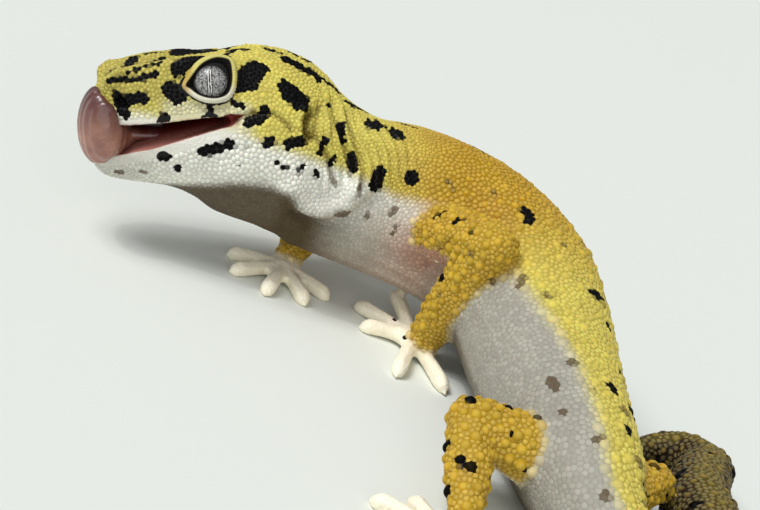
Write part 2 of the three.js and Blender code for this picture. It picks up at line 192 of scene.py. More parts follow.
camera_data = bpy.data.cameras.new("studio_camera")
camera_data.lens, camera_data.sensor_width = LENS, SENSOR
camera_data.clip_start = 0.01
camera = bpy.data.objects.new("studio_camera", camera_data)
bpy.context.scene.collection.objects.link(camera)
place = (AIM - view_forward * DISTANCE) * MM
turned = Matrix(np.array([view_right, view_up, -view_forward]).T.tolist())
camera.matrix_world = Matrix.Translation(place) @ turned.to_4x4()
bpy.context.scene.camera = camera
print("camera at", (place / MM).round(1), "mm")

# %% Floor and lights
def plain_material(name, colour, roughness):
    material = bpy.data.materials.new(name)
    material.use_nodes = True
    shader = material.node_tree.nodes["Principled BSDF"]
    shader.inputs["Base Color"].default_value = (*colour, 1)
    shader.inputs["Roughness"].default_value = roughness
    return material


FLOOR_SIZE = 6.0               # metres
PALE_FLOOR = (0.785, 0.815, 0.77)
floor_mesh = bpy.data.meshes.new("studio_floor")
half = FLOOR_SIZE / 2
floor_mesh.from_pydata([(-half, -half, 0), (half, -half, 0), (half, half, 0), (-half, half, 0)],
                       [], [(0, 1, 2, 3)])
floor = bpy.data.objects.new("studio_floor", floor_mesh)
floor_mesh.materials.append(plain_material("pale floor", PALE_FLOOR, 0.9))
bpy.context.scene.collection.objects.link(floor)


def soft_light(name, from_offset, softness, strength):
    """A distant panel in the direction of from_offset; softness is its width in degrees."""
    data = bpy.data.lights.new(name, "SUN")
    data.angle, data.energy = math.radians(softness), strength
    lamp = bpy.data.objects.new(name, data)
    lamp.location = Vector((AIM + from_offset) * MM)
    lamp.rotation_euler = (-Vector(from_offset)).to_track_quat("-Z", "Y").to_euler()
    bpy.context.scene.collection.objects.link(lamp)


UPPER_LEFT = np.array([-260.0, -150.0, 420.0])
IN_FRONT = np.array([60.0, -420.0, 160.0])
soft_light("key_panel", UPPER_LEFT, 30, 2.0)
soft_light("key_lamp", UPPER_LEFT, 3, 0.35)        # small, for a sharp glint on wet things
soft_light("front_panel", IN_FRONT, 60, 0.85)
sky = bpy.data.worlds.new("studio_sky")
sky.use_nodes = True
sky.node_tree.nodes["Background"].inputs["Color"].default_value = (0.95, 0.98, 1.0, 1)
sky.node_tree.nodes["Background"].inputs["Strength"].default_value = 0.33
bpy.context.scene.world = sky
bpy.context.scene.view_settings.view_transform = "Standard"
print("floor", FLOOR_SIZE, "m wide, three panels and a sky")

# %% [markdown]
# ## One skin over all the flesh
#
# The solids are parted by thin cuts and have flat facets. A skin could be drawn by hand over
# them, but they already have the right shape, so they are used as dough: each one is swollen
# a little, until the cuts close, and the lot is remeshed into one surface of small even squares.
# The eyes go in with the flesh, so that their sockets do not cave in. Then the surface is ironed
# smooth, more on the trunk and less on the fingers, lids and lips. Last it is set to lie inside
# the solids by the thickness of the scales that will stand on it.

# %% Dough from the solids
SWELL = 0.30                   # closes the cuts between the solids
FULL_VOXEL = 0.22              # the side of a square of the skin
VOXEL = FULL_VOXEL
SCALE_DEPTH = 0.22             # the skin lies this far inside the solids
FLESH = sorted(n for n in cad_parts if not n.startswith(("eye_", "tongue")))
FILLED = FLESH + ["eye_left", "eye_right"]      # the eyes fill their sockets in the dough


def welded(node, swell):
    """The node's corners in mm, moved out by swell, and its triangles, with no doubled corners."""
    dough = bmesh.new()
    dough.from_mesh(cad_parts[node].data)
    bmesh.ops.remove_doubles(dough, verts=dough.verts, dist=1e-6)
    bmesh.ops.triangulate(dough, faces=dough.faces)
    dough.normal_update()
    points = np.array([np.array(v.co) / MM + np.array(v.normal) * swell for v in dough.verts])
    faces = [[v.index for v in f.verts] for f in dough.faces]
    dough.free()
    return points, faces


def joined(nodes, swell):
    """All the nodes' corners and triangles in one list, and each triangle's node number."""
    all_points, all_faces, owner, start = [], [], [], 0
    for number, node in enumerate(nodes):
        points, faces = welded(node, swell)
        all_points.append(points)
        all_faces += [[start + i for i in f] for f in faces]
        owner += [number] * len(faces)
        start += len(points)
    return np.vstack(all_points), all_faces, np.array(owner)


print(len(FLESH), "flesh solids and 2 eyes")


# %% Remeshing the dough
def remeshed(points, faces, voxel):
    """One closed surface of small squares round all the faces: corners and squares."""
    mesh = bpy.data.meshes.new("dough")
    mesh.from_pydata(points.tolist(), [], faces)
    lump = bpy.data.objects.new("dough", mesh)
    bpy.context.scene.collection.objects.link(lump)
    remesh = lump.modifiers.new("remesh", "REMESH")
    remesh.mode, remesh.voxel_size, remesh.adaptivity = "VOXEL", voxel, 0
    evaluated = lump.evaluated_get(bpy.context.evaluated_depsgraph_get())
    smooth = bpy.data.meshes.new_from_object(evaluated)
    corners = np.zeros(len(smooth.vertices) * 3)
    smooth.vertices.foreach_get("co", corners)
    squares = np.zeros(len(smooth.loops), np.int32)
    smooth.loops.foreach_get("vertex_index", squares)
    bpy.data.objects.remove(lump)
    return corners.reshape(-1, 3), squares.reshape(-1, 4)


flesh_points, flesh_faces, _ = joined(FILLED, SWELL)
skin, squares = remeshed(flesh_points, flesh_faces, VOXEL)
print(len(skin), "skin corners", len(squares), "squares")

# %% [markdown]
# ## Ironing
#
# The remeshed dough still shows the flat facets of the solids and small steps. Blender has a
# Smooth modifier, but it irons everything alike. Here each corner is moved again and again
# towards the average of its neighbours, and its own number of rounds says how often, so that a
# finger or a lip keeps its shape. Ironing also shrinks, so afterwards every corner is moved
# back to the right depth under the solids' surface.


# %% Neighbours and normals
def edges_of(squares):
    pairs = np.sort(np.vstack([squares[:, [0, 1]], squares[:, [1, 2]],
                               squares[:, [2, 3]], squares[:, [3, 0]]]), axis=1)
    return np.unique(pairs, axis=0)


def mean_of_neighbours(values, edges, count):
    """The average over each corner's neighbours. values is one number or one row a corner."""
    columns = values.reshape(len(values), -1)
    total = np.empty_like(columns)
    for c in range(columns.shape[1]):
        total[:, c] = (np.bincount(edges[:, 0], columns[edges[:, 1], c], len(values))
                       + np.bincount(edges[:, 1], columns[edges[:, 0], c], len(values)))
    return (total / count[:, None]).reshape(values.shape)


def normals_of(points, squares):
    a, b, c, d = (points[squares[:, i]] for i in range(4))
    facing = np.cross(c - a, d - b)
    normals = np.zeros_like(points)
    for axis in range(3):
        normals[:, axis] = np.bincount(squares.ravel(), np.repeat(facing[:, axis], 4), len(points))
    return normals / np.maximum(np.linalg.norm(normals, axis=1), 1e-12)[:, None]


def blend_step(low, high, x):
    """0 below low, 1 above high and a smooth rise between."""
    t = np.clip((np.asarray(x) - low) / (high - low), 0, 1)
    return t * t * (3 - 2 * t)


edges = edges_of(squares)
degree = np.bincount(edges.ravel(), minlength=len(skin)).astype(float)


def softened(values, times):
    """Numbers on the skin's corners, averaged with their neighbours so many times."""
    for _ in range(times):
        values = mean_of_neighbours(values, edges, degree)
    return values


print(len(edges), "edges between neighbours")


# %% Which part of the body each corner belongs to
def ironed(points, rounds, edges, degree, strength=0.6):
    """Moves each corner towards its neighbours' average, for its own number of rounds."""
    for n in range(int(rounds.max())):
        moving = (rounds > n)[:, None] * strength
        points = points + moving * (mean_of_neighbours(points, edges, degree) - points)
    return points


bare_points, bare_faces, owner = joined(FILLED, 0)     # the solids as they are, not swollen
bare_tree = BVHTree.FromPolygons(bare_points.tolist(), bare_faces)
node_of = owner[[bare_tree.find_nearest(p)[2] for p in skin]]


def nearest_node_is(*names):
    """Which corners lie nearest to a solid whose name starts with one of these."""
    return np.isin(node_of, [i for i, n in enumerate(FILLED) if n.startswith(names)])


is_end = nearest_node_is("hand", "foot")
is_limb = nearest_node_is("upper", "fore", "thigh", "shank")
is_head = nearest_node_is("head", "lower_jaw", "eye")
print("corners on head, limbs, hands and feet:", is_head.sum(), is_limb.sum(), is_end.sum())

# %% Iron the skin
TRUNK_ROUNDS = 90              # the most rounds; the other numbers of rounds are lower

head_xyz = to_head(skin)
eye_distance = np.linalg.norm(head_xyz * np.where(head_xyz[:, 1:2] < 0, MIRROR, 1)
                              - EYE_PLACE, axis=1)
lip_zone = is_head & (head_xyz[:, 0] > 7.5) & (abs(head_xyz[:, 2] + 1.5) < 4.2)
fineness = (FULL_VOXEL / VOXEL) ** 2
rounds = np.full(len(skin), float(TRUNK_ROUNDS))
for here, number in ((is_head | is_limb, 60), (lip_zone, 12), (eye_distance < 4.6, 10),
                     (is_end, 12)):
    rounds[here] = number
skin = ironed(skin, softened(rounds, 20) * fineness, edges, degree)
print("ironed", int(rounds.min()), "to", int(rounds.max()), "rounds")


# %% Set the skin at its depth under the solids' surface
def height_over_solids(places):
    """How far each place lies outside the solids; negative inside them."""
    heights = np.empty(len(places))
    for i, p in enumerate(places):
        foot, facing, _, distance = bare_tree.find_nearest(p)
        heights[i] = distance if (Vector(p) - foot).dot(facing) > 0 else -distance
    return heights


depth = np.where(is_end, 0.0, SCALE_DEPTH)
MOST_AMISS = 0.9               # no corner is set right by more than this
amiss = np.clip(-depth - height_over_solids(skin), -MOST_AMISS, MOST_AMISS)
amiss = softened(amiss, int(14 * fineness))
skin += normals_of(skin, squares) * amiss[:, None]
print("moved by", amiss.mean().round(3), "mm on average")

# %% [markdown]
# ## Folds, ridges and pits
#
# The solids give the big shapes. What is left is what a carver would add with a small tool: the
# crease under the lower lid, the fold behind the corner of the mouth, the ear, the nostril, the
# crimped skin of the neck and the roll of loose skin under the throat. They could be sculpted by
# hand in Sculpt Mode, but here each one is a line drawn on the skin with a width and a depth,
# and every corner of the skin near the line is moved in or out along its normal.

# %% Lines drawn on the skin
def gap_to(line, places, reach):
    """How far each place is from a line of points, but never more than reach."""
    gaps = np.full(len(places), float(reach))
    inside = (places > line.min(axis=0) - reach) & (places < line.max(axis=0) + reach)
    near = np.flatnonzero(inside.all(axis=1))
    for part in np.array_split(near, len(near) // 20000 + 1):
        apart = np.linalg.norm(places[part][:, None] - line, axis=2).min(axis=1)
        gaps[part] = np.minimum(apart, reach)
    return gaps


bare_skin_tree = tree_of(skin)


def drawn_on_skin(points, side=1):
    """A smooth line through points on the head's axes, laid on the skin; side -1 is the right."""
    places = on_head(np.asarray(points, float) * (1, side, 1))
    places = np.array([bare_skin_tree.find(p)[0] for p in places])
    return smooth_line(places) if len(places) > 1 else places


def carve(lines, side=1):
    """Moves the skin out (or in, for a negative height) along each line."""
    for points, width, height in lines:
        gaps = gap_to(drawn_on_skin(points, side), skin, 3 * width)
        lift[:] += height * np.exp(-(gaps / width) ** 2)


# %% Folds of the head and neck, on the head's axes
LID_CREASE = [(16.2, 6.8, 4.1), (14.5, 7.3, 3.2), (12.3, 7.8, 3.0), (10.2, 8.2, 3.5),
              (9.0, 8.0, 4.9)]
MOUTH_CORNER = [(9.2, 8.4, 1.7), (8.2, 8.7, 2.2), (7.2, 8.9, 2.7)]
MOUTH_FOLD = [(7.2, 8.9, 2.7), (5.0, 9.3, 2.7), (3.3, 9.7, 1.8), (2.6, 10.0, 0.8)]
EAR = [(-0.5, 8.9, 3.0), (0.1, 9.4, 2.3), (0.3, 9.8, 1.5), (0.2, 10.1, 0.6), (-0.2, 10.2, 0.0)]
EAR_SCALES = [(0.5, 8.9, 3.4), (1.1, 9.4, 2.4), (1.3, 9.9, 1.4), (1.2, 10.2, 0.4)]
NECK_FOLDS = [
    [(-1.9, 8.0, 3.8), (-1.3, 9.3, 2.1), (-1.0, 10.1, 0.5), (-2.2, 10.7, -1.8),
     (-3.3, 11.0, -5.4)],
    [(-4.0, 6.4, 4.2), (-4.2, 8.6, 1.7), (-4.8, 10.0, -0.3), (-5.3, 10.8, -2.8),
     (-5.5, 11.3, -5.1)],
    [(-6.2, 6.0, 3.1), (-6.2, 7.9, 1.6), (-6.8, 10.9, -2.8), (-7.0, 11.6, -5.0),
     (-6.9, 11.6, -7.3)],
]
THROAT_ROLL = [(2.1, 10.0, -7.1), (0.5, 9.6, -8.9), (-2.2, 9.9, -9.9), (-5.2, 11.0, -8.5),
               (-6.6, 11.5, -6.6), (-7.6, 11.4, -4.2)]
ROLL_SHADOW = [(0.8, 8.9, -10.6), (-2.4, 9.3, -11.6), (-6.0, 10.8, -10.6), (-8.6, 11.5, -8.0)]
JAW_EDGE = [(19.0, 2.7, -8.1), (15.6, 5.2, -7.2), (12.1, 7.2, -6.5), (8.5, 8.8, -5.8),
            (4.8, 9.8, -5.8), (2.0, 10.3, -6.2)]
SNOUT_RIDGE = [(24.7, 3.5, 5.0), (22.6, 3.7, 6.6), (19.8, 4.5, 7.4), (18.0, 4.7, 8.0)]
SNOUT_TROUGH = [(24.2, 0, 6.0), (22.0, 0, 7.2), (19.0, 0, 7.9), (16.0, 0, 8.4)]
BROW_RIDGE = [(17.0, 5.4, 7.9), (15.0, 5.0, 8.9), (12.0, 4.6, 9.4), (9.5, 4.9, 9.0)]
NOSTRIL_RIM = [(24.3, 3.5, 5.2), (23.6, 3.6, 5.8)]
NOSTRIL = [(23.6, 4.7, 3.1), (23.3, 5.0, 2.6)]
CROWN = [(5.0, 1.5, 9.2), (1.0, 1.5, 8.8), (-3.0, 2.0, 7.6)]
HEAD_FOLDS = [                 # line, width and height in mm
    (LID_CREASE, 0.38, -0.12), (MOUTH_CORNER, 0.34, -0.75), (MOUTH_FOLD, 0.40, -0.38),
    (EAR, 0.62, -2.3), (JAW_EDGE, 0.5, -0.22), (SNOUT_RIDGE, 0.75, 0.38),
    (SNOUT_TROUGH, 1.9, -0.5), (BROW_RIDGE, 0.9, 0.5), (NOSTRIL_RIM, 1.0, 0.75),
    (NOSTRIL, 0.42, -1.0), (CROWN, 3.6, 0.4), (THROAT_ROLL, 1.5, 1.4), (ROLL_SHADOW, 0.9, -0.9),
] + [(fold, 0.55, -0.95) for fold in NECK_FOLDS] + [([scale], 0.5, 0.7) for scale in EAR_SCALES]
ELBOW_FOLD = [(6.2, -16.5, 12.1), (6.9, -20.7, 16.7), (7.8, -22.2, 19.8)]
print(len(HEAD_FOLDS), "folds, ridges and pits on each side of the head and neck")

# %% Carve them
smooth_skin = skin.copy()      # spots are measured on this, so that pits do not break them
lift = np.zeros(len(skin))
carve(HEAD_FOLDS)
carve(HEAD_FOLDS, side=-1)
FAR_BROW, BROW_SIZE = (11.8, -4.6, 8.4), (4.6, 3.4, 3.0)
carve([(BROW_RIDGE, 1.7, -0.3)], side=-1)          # the right brow stands a little lower
lift -= 0.25 * np.exp(-np.linalg.norm((head_xyz - FAR_BROW) / BROW_SIZE, axis=1) ** 2)
elbow = np.array([bare_skin_tree.find(floor_origin + p)[0] for p in ELBOW_FOLD])
lift -= 0.4 * np.exp(-(gap_to(smooth_line(elbow), skin, 1.5) / 0.4) ** 2)
print("lift from", lift.min().round(2), "to", lift.max().round(2), "mm")

# %% [markdown]
# ## Crimps of the neck
#
# Where the head turns, the loose skin of the neck is pressed into even crimps, like the edge of
# a curtain. Each could be carved as a line of its own, but a wave over the whole neck gives all
# of them at once. It runs across the neck, wanders a little, and fades towards the head, the
# shoulder, the back and the throat.

# %% Crimped skin of the neck
CRIMP = 1.4                    # mm from one crimp to the next
CRIMP_HEIGHT = 0.27            # mm up and down from the smooth skin
x, y, z = to_head(skin).T
phase = (x - 0.2 * z + 0.3 * np.sin(0.9 * z + 0.3 * x)) / CRIMP
on_neck = blend_step(1.0, 2.6, -x) * blend_step(-17.5, -10.5, x) * ~is_limb
on_side = blend_step(3.0, 6.0, abs(y)) * blend_step(-9.0, -5.0, z)
lift += CRIMP_HEIGHT * np.cos(2 * math.pi * phase) * on_neck * on_side
skin += normals_of(skin, squares) * lift[:, None]
print(int((on_neck * on_side > 0.5).sum()), "corners crimped")

# %% [markdown]
# ## The opening of the lids
#
# The lids of the animal are drawn to a point in front and part round the eye like an almond.
# The opening is one closed line, drawn as seen along the gaze. A hole could be cut in the skin
# with a boolean, but that leaves a ragged edge; here the skin inside the line is only pushed
# down under the eyeball, and the rim of the lids will hide the step.

# %% The line of the lids
GAZE_UP = unit(np.array([0, 0, 1]) - EYE_GAZE[2] * EYE_GAZE)
GAZE_AHEAD = -np.cross(EYE_GAZE, GAZE_UP)
GAZE_AHEAD *= np.sign(GAZE_AHEAD[0])
GAZE_AXES = np.array([GAZE_AHEAD, GAZE_UP, EYE_GAZE])
LID_LINE = [(3.25, -0.55), (2.3, 1.25), (1.35, 2.5), (0, 3.35), (-1.2, 3.5), (-2.3, 3.1),
            (-2.8, 1.8), (-2.85, -0.2), (-2.35, -1.45), (-1.3, -2.1), (0, -2.25), (1.2, -2.0),
            (2.3, -1.4)]
lid_flat = smooth_line([(u, v, 0) for u, v in LID_LINE], closed=True)[:, :2]
lid_middle = lid_flat.mean(axis=0)
lid_turn = np.arctan2(*(lid_flat - lid_middle).T[::-1])
lid_order = np.argsort(lid_turn)
lid_far = np.linalg.norm(lid_flat - lid_middle, axis=1)


def inside_lids(across, upward):
    """How far inside the opening each place is: 1 at its middle, 0 on the rim's line."""
    turn = np.arctan2(upward - lid_middle[1], across - lid_middle[0])
    far = np.interp(turn, lid_turn[lid_order], lid_far[lid_order], period=2 * math.pi)
    return 1 - np.hypot(across - lid_middle[0], upward - lid_middle[1]) / far


EYE_RADIUS, CORNEA = 3.38, 0.16    # the ball, and the bulge of the cornea on it
EYE_SET = {1: EYE_PLACE, -1: EYE_PLACE - (0, 0.7, 0.95)}     # the right eye is sunk a little


def seen_along_gaze(side):
    """The skin's corners on one eye's gaze axes, their distance from it, and inside_lids."""
    off_eye = (to_head(skin) * (1, side, 1) - EYE_SET[side]) @ GAZE_AXES.T
    return off_eye, np.linalg.norm(off_eye, axis=1), inside_lids(off_eye[:, 0], off_eye[:, 1])


print("the lids open", np.ptp(lid_flat, axis=0).round(1), "mm along and across")

# %% The skin inside the opening goes under the eyeball
for side in (1, -1):
    off_eye, far_off, within = seen_along_gaze(side)
    under = np.flatnonzero((within > -0.04) & (off_eye[:, 2] > 0.3) & (far_off < 5.2)
                           & (far_off > EYE_RADIUS - 0.5))
    shrink = (EYE_RADIUS - 0.45) / far_off[under]
    place = EYE_SET[side] + (off_eye[under] * shrink[:, None]) @ GAZE_AXES
    skin[under] = on_head(place * (1, side, 1))
    print(len(under), "corners under the eyeball")
skin_normal = normals_of(skin, squares)

# %% How near each corner is to a crease, where shade is painted
crease = np.full(len(skin), 1.0)
for side in (1, -1):
    for line in [MOUTH_FOLD] + NECK_FOLDS:
        crease = np.minimum(crease, gap_to(drawn_on_skin(line, side), smooth_skin, 1.0))
    # painted shade also fills the ear's opening, half a millimetre wider than the line
    crease = np.minimum(crease, gap_to(drawn_on_skin(EAR, side), smooth_skin, 2.0) - 0.5)
print(int((crease < 0.5).sum()), "corners in a crease")

# %% [markdown]
# ## Where each colour lies
#
# The animal is yellow above, white below, ochre on the back and legs, brown on the tail and
# nearly bare and pale on the toes, with black spots. A texture painted over the model would
# need an unwrapped map, and the scales that come later would each need the same map. Instead
# every corner of the skin gets a few numbers: how white, how ochre, how pink it is, and how
# many millimetres it is from the edge of the nearest black spot. The scales later take these
# numbers over from the skin they stand on, so skin and scales always carry the same markings.

# %% Where the white lies, and a painted highlight under the eye
# x, y and z are on the head's axes, on_floor on the floor's, both in mm; round_back in degrees.
# The lists give the height, or the angle, of an edge at a row of places along the body.
x, y, z = to_head(skin).T
on_floor = skin - floor_origin
along, round_back = body_place(skin)
CHEST_AT = 24.0                # where the chest starts along the spine
TAIL_AT = spine_at[STEPS * 13] # and the tail, at the middle numbered 13
WHITE_FROM = [-26, -12, -6, -1, 2, 6, 9, 12, 15, 18, 21, 26]
WHITE_BELOW = [-9.5, -7.5, -4.6, -3.0, -2.0, -1.0, 0.4, 0.9, 0.8, 1.2, 1.6, 1.6]
is_tail = (along > TAIL_AT) & ~is_limb & ~is_end
is_trunk = ~(is_tail | is_limb | is_end | is_head)
head_white = 1 - blend_step(-0.9, 0.9, z - np.interp(x, WHITE_FROM, WHITE_BELOW))
# painted highlight: the skin under the eye, over the lower lid, is made half white
highlight_under_eye = blend_step(4.4, 3.0, z) * blend_step(6.5, 8.5, x) * blend_step(19.5, 17.0, x)
head_white = np.maximum(head_white, 0.55 * highlight_under_eye)
rolled = round_back - np.interp(along, [45, 62, 72, 84, 100, 118], [0, -14, -26, -30, -20, 0])
flank_from = np.interp(along, [20, 30, 40, 55, 62, 72, 90], [76, 70, 62, 50, 44, 40, 44])
flank_white = blend_step(-11, 11, abs(rolled) - flank_from)
print("white on", int((head_white * is_head > 0.5).sum()), "corners of the head; tail from",
      TAIL_AT.round(1), "mm")

# %% Where painted shade lies under the jaw, on the chest and on the lower flank
EDGE_FROM = [-12, -9, -6, -3, 0.5, 2, 4.8, 8.5, 12, 15.6, 19, 24]
EDGE_HEIGHT = [-10.8, -11.2, -11.0, -10.9, -9.8, -7.2, -6.3, -6.2, -6.9, -7.6, -8.4, -8.0]
behind_jaw = blend_step(2, -9, x)
under_jaw = blend_step(0.3, -0.9, z - np.interp(x, EDGE_FROM, EDGE_HEIGHT)) * (1 - behind_jaw)
under_chest = blend_step(17.5, 11.5, on_floor[:, 2]) * behind_jaw * blend_step(48, 30, along)
lower_side = blend_step(0.1, 0.75, -skin_normal[:, 2])
shaded_flank = flank_white * blend_step(28, 50, along) * (0.6 + 0.4 * lower_side)
chin = 0.28 * head_white * blend_step(16, 23, x) * blend_step(-1.5, -4.5, z)
lobe = 0.22 * blend_step(-5.5, -8.0, z) * blend_step(4, -1, x) * blend_step(-13, -9, x)
# painted shade: under the jaw, under the chest, on the lower flank, on the front of the chin and on
# the throat's lobe
dusk = 0.95 * under_jaw + 0.25 * under_chest + shaded_flank + chin + lobe
dusk = np.where(is_limb | is_end | is_tail, 0.0, dusk)
dusk = softened(np.clip(dusk, 0, 1), 9)
print("dusky corners:", int((dusk > 0.5).sum()))


# %% How much of each colour on legs, tail and body
def zoned(limb, tail, body):
    return np.where(is_limb | is_end, limb, np.where(is_tail, tail, body))


trunk_part = blend_step(CHEST_AT - 6, CHEST_AT + 6, along)
white = zoned(0.7 * blend_step(0.5, 0.95, -skin_normal[:, 2]),
              blend_step(105, 150, abs(round_back)),
              head_white * (1 - trunk_part) + flank_white * trunk_part)
ochre = zoned(0.82, 0.3,
              0.95 * blend_step(13, 28, along) * (1 - 0.9 * blend_step(36, 60, along)))
tail_rim = 1 - blend_step(14, 40, abs(round_back + 4))
snout_shade = 0.26 * is_head * blend_step(9, 17, x) * blend_step(1.5, 4.0, z)
brown = zoned(0.0, blend_step(TAIL_AT, TAIL_AT + 7, along) * (1 - 0.15 * tail_rim), snout_shade)
ARM_PIT, PIT_SIZE = (5.0, -16.0, 13.5), (6.5, 5.5, 5.5)
arm_pit = np.exp(-np.linalg.norm((on_floor - ARM_PIT) / PIT_SIZE, axis=1) ** 2)
throat = blend_step(0.35, 0.9, -skin_normal[:, 2]) * blend_step(20, -6, x)
pink = np.clip(arm_pit + 0.5 * throat * (along < 40), 0, 1) * (white > 0.02)
hand, white, ochre = (softened(v, 6) for v in (is_end.astype(float), white, ochre))
print("ochre on", int((ochre > 0.5).sum()), "corners, pink on", int((pink > 0.3).sum()))

# %% [markdown]
# ## The inside of the mouth
#
# Inside the lips the skin is wet, pink in front and dark red towards the throat; the darkest red,
# up under the palate, deep inside and in the corner of the mouth, is painted shade. It could be
# found by hand, face by face. Here a corner belongs to the mouth if a ray sent outwards from it
# soon meets skin again, which is true only inside a hollow. Two flat faces that look past the
# lips are added by their height, and so is the thin wedge at the corner of the mouth. Then the
# floor of the mouth is swollen and the palate let down, since a real mouth is full of flesh.

# %% Which corners line the mouth
# the lists give the height of the lip, the palate and the jaw's upper side, by x
skin_tree = BVHTree.FromPolygons(skin.tolist(), squares.tolist())
mouth = np.zeros(len(skin))
below_lip = z < np.interp(x, [7, 9, 13, 18, 25], [2.9, 2.5, 1.9, 1.0, 0.6])
for i in np.flatnonzero((x > 7.0) & (x < 26) & (z > -6.5) & below_lip & is_head):
    outward = Vector(skin_normal[i])
    if skin_tree.ray_cast(Vector(skin[i]) + outward * 0.12, outward, 7.0)[0] is not None:
        mouth[i] = 1.0
palate = np.interp(x, [8.4, 13.2, 17.9, 20.8, 24.0], [2.15, 1.4, 0.4, 0.0, -0.4])
jaw_top = np.interp(x, [8.4, 14.9, 19.6, 25.6], [1.7, -0.85, -2.75, -4.45])
facing_up = skin_normal @ HEAD_UP
on_palate = (abs(z - palate) < 0.6) & (facing_up < -0.6)
on_jaw_top = (abs(z - jaw_top) < 0.6) & (facing_up > 0.6)
mouth[is_head & (x > 9) & (x < 24.6) & (on_palate | on_jaw_top)] = 1.0
mouth = softened(mouth, 4)
rising = 1.8 + 0.33 * (9.4 - x)                # the middle line of the mouth's corner
half_open = np.interp(x, [8.2, 10.0], [-0.05, 0.75])
corner = 1 - blend_step(0.0, 0.16, abs(z - rising) - half_open)
corner *= (x > 8.0) & (x < 11) & (abs(y) > 6.0) & is_head
mouth = np.maximum(mouth, corner)
print("mouth corners", int((mouth > 0.5).sum()))

# %% Flesh of the mouth
HUMP, HUMP_WIDTH = 1.5, 5.6    # the floor of the mouth swells up to the palate
PALATE_DROP = 0.9              # and the palate hangs down a little
in_floor = (mouth > 0.5) & (facing_up > 0.5)
round_over = np.clip(1 - (y / HUMP_WIDTH) ** 2, 0, 1) * blend_step(8.5, 11.5, x)
in_palate = (mouth > 0.5) & (facing_up < -0.5)
raised = np.where(in_floor, HUMP * round_over * blend_step(23, 18, x), 0)
raised = np.where(in_palate, -PALATE_DROP * round_over * blend_step(24, 21, x), raised)
raised = softened(raised, 3)
skin += raised[:, None] * HEAD_UP
z = z + raised
# painted shade: the mouth grows dark red towards the palate and deep inside, and in the wedge at
# its corner
deep = blend_step(-0.9, 0.7, z - np.interp(x, [9, 14, 20, 26], [0.9, -0.6, -2.3, -3.2]))
deep = np.maximum(deep, 0.85 * corner)
print("raised from", raised.min().round(2), "to", raised.max().round(2), "mm")

# %% [markdown]
# ## Black spots
#
# Each spot is one or two thick short strokes, given by the two ends of its middle line and half
# its width. The ones on the head and neck follow the real animal's left side, and the right
# side carries the same ones, each shifted a little, as on a real animal. The far side of the
# back and the tail get spots and broken bands scattered from a fixed seed. Next to black spots
# there are a few faint brown ones, kept in a second number.

